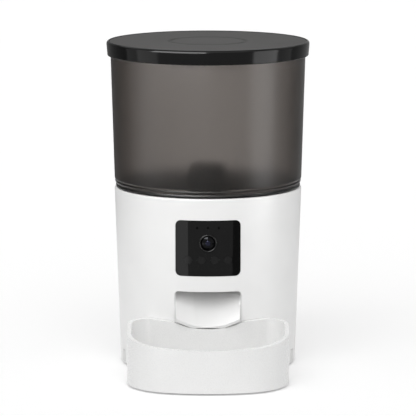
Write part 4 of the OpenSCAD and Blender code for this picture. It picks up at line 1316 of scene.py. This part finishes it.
@dataclass
class Bowl:
    """Pull-off bowl with a sloped rim, a dished floor and a notch for the chute."""

    skin: Skin = Skin()
    half_w: float = 82.0
    reach: float = 182.99
    front_r: float = 154.0
    corner_r: float = 55.0
    rear_r: float = 27.0
    rear_y: float = -71.4
    gap: float = 0.8
    wall: float = 4.2
    inner_r: float = 7.0
    base_z: float = 2.0
    floor_z: float = 6.0
    front_h: float = 45.0
    back_h: float = 58.3
    slope: float = 0.14
    crest_r: float = 200.0
    crest_steps: int = 12
    floor_round: float = 6.5
    rim_round: float = 1.95
    foot_round: float = 1.5
    cusp_round: float = 1.4
    cusp_slack: Pair = (0.3, 3.0)
    notch: Pair = (51.1, 110.0)
    notch_y: float = -110.0
    notch_ease: float = 4.0
    notch_angle: float = 15.0
    hook: tuple[float, float, float, float] = (40.0, 12.0, 4.0, 22.0)
    hook_y: Pair = (-88.5, -77.1)
    hook_round: float = 0.8
    pads: tuple[Pair, ...] = ((50.0, -152.25), (58.0, -98.4))
    pad_r: float = 6.0
    pad_h: float = 2.0
    pad_round: float = 0.6
    tower_z: Pair = (-5.0, 90.0)
    spare: float = 10.0
    level_slack: float = 0.05
    rim_slack: float = 0.1

    def build(self) -> None:
        """Builds the bowl and its pads."""
        placed(self.dish(), Piece("food_bowl", "bowl", BOWL_WHITE, Slot.WHITE_SHELL, ("feeding_bowl",)))
        placed(self.feet(), Piece("bowl_pads", "bowl", FOOT_RUBBER, Slot.RUBBER, ("bowl_feet",)))

    def front_half(self, inset: float) -> list[Vector]:
        """Right half of the outline from the front to the side.

        Args:
            inset: How far the outline is drawn in, in millimetres.

        Returns:
            Points in plan.
        """
        front = Vector((0.0, self.front_r - self.reach))
        across = self.half_w - self.corner_r
        apart = self.front_r - self.corner_r
        corner = Vector((across, front.y - math.sqrt(apart ** 2 - across ** 2)))
        turn = heading(corner - front)
        return [*arc(front, self.front_r - inset, -math.pi / 2, turn, steps=16)[:-1],
                *arc(corner, self.corner_r - inset, turn, 0.0, steps=28)]

    def rear_centre(self) -> Vector:
        """Middle of the right rear corner."""
        return Vector((self.half_w - self.rear_r, self.rear_y - self.rear_r))

    def outside(self) -> list[Vector]:
        """Outline of the bowl before the tower is cut out of it."""
        rear = arc(self.rear_centre(), self.rear_r, 0.0, math.pi / 2, steps=20)
        return mirrored([*self.front_half(0.0), *rear])

    def inside(self) -> list[Vector]:
        """Outline of the hollow, with its rear ends rounded against the tower.

        Returns:
            Points in plan.
        """
        rear, rear_r = self.rear_centre(), self.rear_r - self.wall
        tower_r = self.skin.radius(self.back_h) + self.gap + self.wall
        near, far = rear_r - self.inner_r, tower_r + self.inner_r
        along = (far ** 2 - near ** 2 + rear.length_squared) / (2 * rear.length)
        aside = math.sqrt(far ** 2 - along ** 2)
        ray = rear.normalized()
        end = ray * along + Vector((-ray.y, ray.x)) * aside
        return mirrored([
            *self.front_half(self.wall),
            *arc(rear, rear_r, 0.0, heading(end - rear), steps=14)[:-1],
            *arc(end, self.inner_r, heading(end - rear), heading(-end), steps=16)[:-1],
            *arc(Vector((0.0, 0.0)), tower_r, heading(end), -math.pi / 2, steps=24)])

    def crest(self) -> Pair:
        """Places along Y between which the rising rim turns level.

        Returns:
            First and last place of the turn, in millimetres.
        """
        angle = math.atan(self.slope)
        turn = (self.back_h - self.front_h) / self.slope - self.reach
        half = self.crest_r * math.tan(angle / 2)
        return turn - half * math.cos(angle), turn + half

    def rim_at(self, y: float) -> float:
        """Height of the rim.

        Args:
            y: Place along Y, in millimetres.

        Returns:
            Height there.
        """
        start, end = self.crest()
        if y <= start:
            return self.front_h + (y + self.reach) * self.slope
        if y >= end:
            return self.back_h
        return self.back_h - self.crest_r + math.sqrt(self.crest_r ** 2 - (y - end) ** 2)

    def rim_cutter(self) -> BMesh:
        """Block that takes everything above the rim away.

        Returns:
            Mesh of the block.
        """
        start, end = self.crest()
        bends = [start + (end - start) * step / self.crest_steps for step in range(self.crest_steps + 1)]
        front, top, side = -self.reach - self.spare, 2 * self.back_h, self.half_w + self.spare
        sweep = [(y, self.rim_at(y)) for y in (front, *bends, 0.0)]
        outline = [*sweep, (0.0, top), (front, top)]
        return block([mm(-side, y, z) for y, z in outline], mm(2 * side, 0, 0))

    def dish(self) -> BMesh:
        """Hollowed block with its notch and hooks, and with its edges rounded.

        Returns:
            Mesh of the bowl.
        """
        skin, (low, high) = self.skin, self.tower_z
        tower = turned([Corner(0, low), Corner(skin.radius(low, -self.gap), low),
                        Corner(skin.radius(high, -self.gap), high), Corner(0, high)], steps=240, span=100)
        bm = combined(prism(self.outside(), self.base_z, self.back_h + self.spare), tower, Cut.CARVE)
        bm = combined(bm, self.rim_cutter(), Cut.CARVE)
        soften(bm, sharp_edges(bm, self.at_cusp), self.cusp_round, segments=4)
        foot = sharp_edges(bm, lambda p: abs(p.z - self.base_z) < self.level_slack)
        soften(bm, foot, self.foot_round, segments=4)
        hollow = prism(self.inside(), self.floor_z, 2 * self.back_h)
        floor = sharp_edges(hollow, lambda p: abs(p.z - self.floor_z) < self.level_slack)
        soften(hollow, floor, self.floor_round, segments=9)
        bm = combined(bm, hollow, Cut.CARVE)
        bottom, round_r = self.notch
        depth = skin.radius(bottom) + self.gap + 2 * self.wall
        arch = moved(peg(round_r, depth, segments=180), at(0, 0, bottom + round_r), FRONT)
        bm = combined(combined(bm, arch, Cut.CARVE), self.hooks(), Cut.JOIN)
        soften(bm, sharp_edges(bm, self.at_notch_corner, self.notch_angle), self.notch_ease, segments=6)
        rim = sharp_edges(bm, lambda p: self.at_rim(p) or self.at_notch(p))
        soften(bm, rim, self.rim_round, segments=4)
        return bm

    def hooks(self) -> BMesh:
        """Two hooks that reach into the tower.

        Returns:
            Mesh of both hooks.
        """
        x, width, height, middle = self.hook
        front, rear = self.hook_y
        return gathered(moved(rounded_bar(width, height, self.hook_round, rear - front),
                              at(side * x, rear, middle), FRONT) for side in SIDES)

    def at_cusp(self, point: Vector) -> bool:
        """Whether a point lies on the upright edge where a rear corner meets the tower."""
        near, along = self.cusp_slack
        return (self.skin.off(point, -self.gap) < near and abs(point.y - self.rear_y) < along
                and abs(point.x) > self.half_w / 2)

    def at_rim(self, point: Vector) -> bool:
        """Whether a point lies on the sloped rim."""
        return abs(point.z - self.rim_at(point.y)) < self.rim_slack

    def at_notch_corner(self, point: Vector) -> bool:
        """Tells where the rim turns down into the notch.

        Args:
            point: Point in millimetres.

        Returns:
            Whether the point lies there.
        """
        bottom, round_r = self.notch
        off_arch = abs(math.hypot(point.x, point.z - bottom - round_r) - round_r)
        return self.at_rim(point) and point.y > self.notch_y and off_arch < self.rim_slack

    def at_notch(self, point: Vector) -> bool:
        """Whether a point lies on the edge of the chute's notch or on its eased corners."""
        return (abs(point.x) < self.half_w / 2 and point.z > self.notch[0] - self.level_slack
                and point.y > self.notch_y)

    def feet(self) -> BMesh:
        """Four rubber pads.

        Returns:
            Mesh of all pads.
        """
        pad = [Corner(0, 0), Corner(self.pad_r, 0, self.pad_round), Corner(self.pad_r, self.pad_h),
               Corner(0, self.pad_h)]
        return gathered(moved(turned(pad, steps=48), at(side * x, y, 0))
                        for side in SIDES for x, y in self.pads)


@dataclass
class Carried:
    """CAD nodes whose shape is right, each with its finish."""

    finishes: dict[Finish, tuple[str, ...]] = field(default_factory=lambda: {
        INNER_WHITE: ("base_cover", "battery_door", "feed_deck", "gearbox_case", "desiccant_cup",
                      "desiccant_cap"),
        FUNNEL_GREY: ("feed_funnel",),
        INNER_BLACK: ("rotor_hub", "speaker"),
        COMPONENT_BLACK: ("tact_switches", "board_components"),
        SENSOR_BLACK: ("sensor_windows", "lens_barrel"),
        BLADE_RUBBER: ("rotor_blades", "outlet_baffle"),
        SEAL_RUBBER: ("lid_seal",),
        STEEL: ("base_screws", "deck_screws", "chute_screws", "front_board_screws", "gearbox_screws",
                "idler_axle", "motor_screws", "battery_contacts", "door_pins", "main_board_screws",
                "usb_inlet", "funnel_screws"),
        MOTOR_STEEL: ("drive_motor",),
        BRONZE: ("shaft_bush", "rotor_bush", "motor_pinion"),
        GEAR_PLASTIC: ("output_gear", "idler_gear"),
        BOARD_GREEN: ("front_board", "main_board", "power_board"),
        CELL_SLEEVE: ("battery_cells",)})

    def dress(self) -> None:
        """Gives every carried node its finish."""
        for finish, names in self.finishes.items():
            for name in names:
                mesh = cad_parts[name].data
                mesh.materials.clear()
                mesh.materials.append(finish.material())
                LOG.info("%s: %s", name, finish.name)


@dataclass(frozen=True)
class Sun:
    """Broad, even light from one side."""

    name: str
    azimuth: float
    elevation: float
    spread: float
    strength: float


@dataclass(frozen=True)
class Strip:
    """Soft strip or card beside the object that only shows as a reflection."""

    name: str
    azimuth: Pair
    height: Pair
    distance: float
    glow: float


def direction(azimuth: float, elevation: float) -> Vector:
    """Direction from the object, with azimuth 0 at the front, in degrees."""
    turn, rise = math.radians(azimuth), math.radians(elevation)
    return Vector((math.sin(turn) * math.cos(rise), -math.cos(turn) * math.cos(rise), math.sin(rise)))


def seen_rays(tree: NodeTree) -> NodeSocket:
    """Finds the rays that look at the backdrop straight, through glass or in a reflection.

    Args:
        tree: Node tree to work in.

    Returns:
        Socket that is 1 for those rays.
    """
    path = tree.nodes.new("ShaderNodeLightPath")
    total = path.outputs["Is Camera Ray"]
    for name in ("Is Transmission Ray", "Is Glossy Ray"):
        larger = tree.nodes.new("ShaderNodeMath")
        larger.operation = "MAXIMUM"
        tree.links.new(total, larger.inputs[0])
        tree.links.new(path.outputs[name], larger.inputs[1])
        total = larger.outputs["Value"]
    return total


def lit(data: Light, away: Vector) -> Object:
    """Makes a light an object that shines from one direction.

    Args:
        data: Light to use.
        away: Direction from the object to the light.

    Returns:
        The new object.
    """
    made = in_scene(data, data.name)
    made.rotation_euler = away.to_track_quat("Z", "Y").to_euler()
    made.visible_camera = False
    return made


@dataclass
class Studio:
    """White floor, soft lights and the camera at the photograph's view."""

    camera_at: Point = (0.0, -3.30265, 0.67504)
    pitch: float = 8.846
    lens: float = 276.92
    sight: float = 100.0
    fill: float = 0.56
    floor_half: float = 20.0
    floor_cells: int = 8
    floor_shade: float = 0.76
    floor_roughness: float = 0.9
    floor_lift: float = 0.27
    flag_steps: int = 12
    suns: tuple[Sun, ...] = (
        Sun("front_key", -10, 42, 60, 1.1),
        Sun("left_fill", -65, 35, 80, 0.24),
        Sun("right_fill", 60, 35, 80, 0.2),
        Sun("overhead", 0, 80, 90, 0.3))
    strips: tuple[Strip, ...] = (
        Strip("panel_strip", (-52, -22.5), (0.0, 0.1), 0.45, 1.8),
        Strip("left_strip", (-80, -54), (0.08, 0.5), 0.5, 1.5),
        Strip("right_strip", (48, 78), (0.08, 0.5), 0.5, 4.8),
        Strip("upper_box", (-50, 50), (0.8, 1.5), 0.7, 3.0),
        Strip("lens_glint", (-60, -2), (0.32, 0.66), 0.45, 16.0))
    flags: tuple[Strip, ...] = (
        Strip("panel_flag", (28, 50), (0.0, 0.1), 0.45, 0.15),
        Strip("left_flag", (-172, -100), (-0.1, 0.8), 0.8, 0.2),
        Strip("right_flag", (104, 172), (-0.1, 0.8), 0.8, 0.35))

    def build(self) -> None:
        """Builds the floor, the world, the lights and the camera."""
        self.floor()
        self.world()
        for sun in self.suns:
            self.sun(sun)
        for strip in self.strips:
            self.strip(strip)
        for flag in self.flags:
            self.flag(flag)
        self.camera()
        bpy.context.scene.view_settings.view_transform = "Standard"

    def floor(self) -> None:
        """Builds the pale floor, which keeps the object's shadow."""
        bm = bmesh.new()
        bmesh.ops.create_grid(bm, x_segments=self.floor_cells, y_segments=self.floor_cells,
                              size=self.floor_half)
        mesh = mesh_of(bm, "floor")
        made = in_scene(mesh, "floor")
        recipe = Recipe("floor_white")
        recipe.set({"Base Color": (self.floor_shade,) * 3 + (1.0,), "Roughness": self.floor_roughness,
                    "Specular IOR Level": 0.0, "Emission Color": WHITE})
        lift = recipe.node("ShaderNodeMath", operation="MULTIPLY")
        lift.inputs[1].default_value = self.floor_lift
        recipe.link(seen_rays(recipe.tree), lift.inputs[0])
        recipe.drive("Emission Strength", lift.outputs["Value"])
        mesh.materials.append(recipe.material)

    def world(self) -> None:
        """Sets up an even fill that shows as white behind the object."""
        world = bpy.data.worlds.new("studio")
        world.use_nodes = True
        bpy.context.scene.world = world
        tree = world.node_tree
        back = tree.nodes["Background"]
        level = tree.nodes.new("ShaderNodeMapRange")
        level.inputs["To Min"].default_value = self.fill
        level.inputs["To Max"].default_value = 1.0
        tree.links.new(seen_rays(tree), level.inputs["Value"])
        tree.links.new(level.outputs["Result"], back.inputs["Strength"])
        back.inputs["Color"].default_value = WHITE

    def sun(self, sun: Sun) -> None:
        """Adds one broad light, which leaves no disc in a reflection.

        Args:
            sun: Place and strength of the light.
        """
        data = bpy.data.lights.new(sun.name, "SUN")
        data.energy = sun.strength
        data.angle = math.radians(sun.spread)
        made = lit(data, direction(sun.azimuth, sun.elevation))
        made.visible_glossy = False

    def strip(self, strip: Strip) -> None:
        """Adds one strip light that shows in gloss alone.

        Args:
            strip: Place, size and glow of the strip.
        """
        first, last = strip.azimuth
        low, high = strip.height
        data = bpy.data.lights.new(strip.name, "AREA")
        data.shape = "RECTANGLE"
        data.size = 2 * strip.distance * math.tan(math.radians(last - first) / 2)
        data.size_y = high - low
        data.energy = strip.glow * math.pi * data.size * data.size_y
        away = direction((first + last) / 2, 0)
        made = lit(data, away)
        made.location = away * strip.distance + Vector((0, 0, (low + high) / 2))
        made.visible_diffuse = False

    def flag(self, flag: Strip) -> None:
        """Adds one dim card, bent round the object, that shows in gloss alone.

        Args:
            flag: Place, size and glow of the card.
        """
        first, last = flag.azimuth
        bm = bmesh.new()
        ends = [bm.verts.new(direction(first, 0) * flag.distance + Vector((0, 0, z))) for z in flag.height]
        edge = bm.edges.new(ends)
        bmesh.ops.spin(bm, geom=[*ends, edge], cent=ORIGIN, axis=UP, dvec=ORIGIN,
                       angle=math.radians(last - first), steps=self.flag_steps)
        mesh = mesh_of(bm, flag.name)
        recipe = Recipe(flag.name)
        recipe.set({"Base Color": BLACK, "Specular IOR Level": 0.0, "Emission Color": WHITE,
                    "Emission Strength": flag.glow})
        mesh.materials.append(recipe.material)
        made = in_scene(mesh, flag.name)
        for ray in ("camera", "diffuse", "transmission", "volume_scatter", "shadow"):
            setattr(made, f"visible_{ray}", False)

    def camera(self) -> None:
        """Adds the camera."""
        data = bpy.data.cameras.new("camera")
        data.lens = self.lens
        data.clip_end = self.sight
        made = in_scene(data, "camera")
        made.location = self.camera_at
        made.rotation_euler = (math.radians(90 - self.pitch), 0.0, 0.0)
        bpy.context.scene.camera = made


def main() -> None:
    """Builds the studio and the feeder, sub-assembly by sub-assembly."""
    logging.basicConfig(level=logging.INFO, format="%(name)s %(message)s")
    Studio().build()
    for assembly in (Tower(), Hopper(), Lid(), CameraPanel(), Chute(), Bowl()):
        assembly.build()
    Carried().dress()


if __name__ == "__main__":
    main()
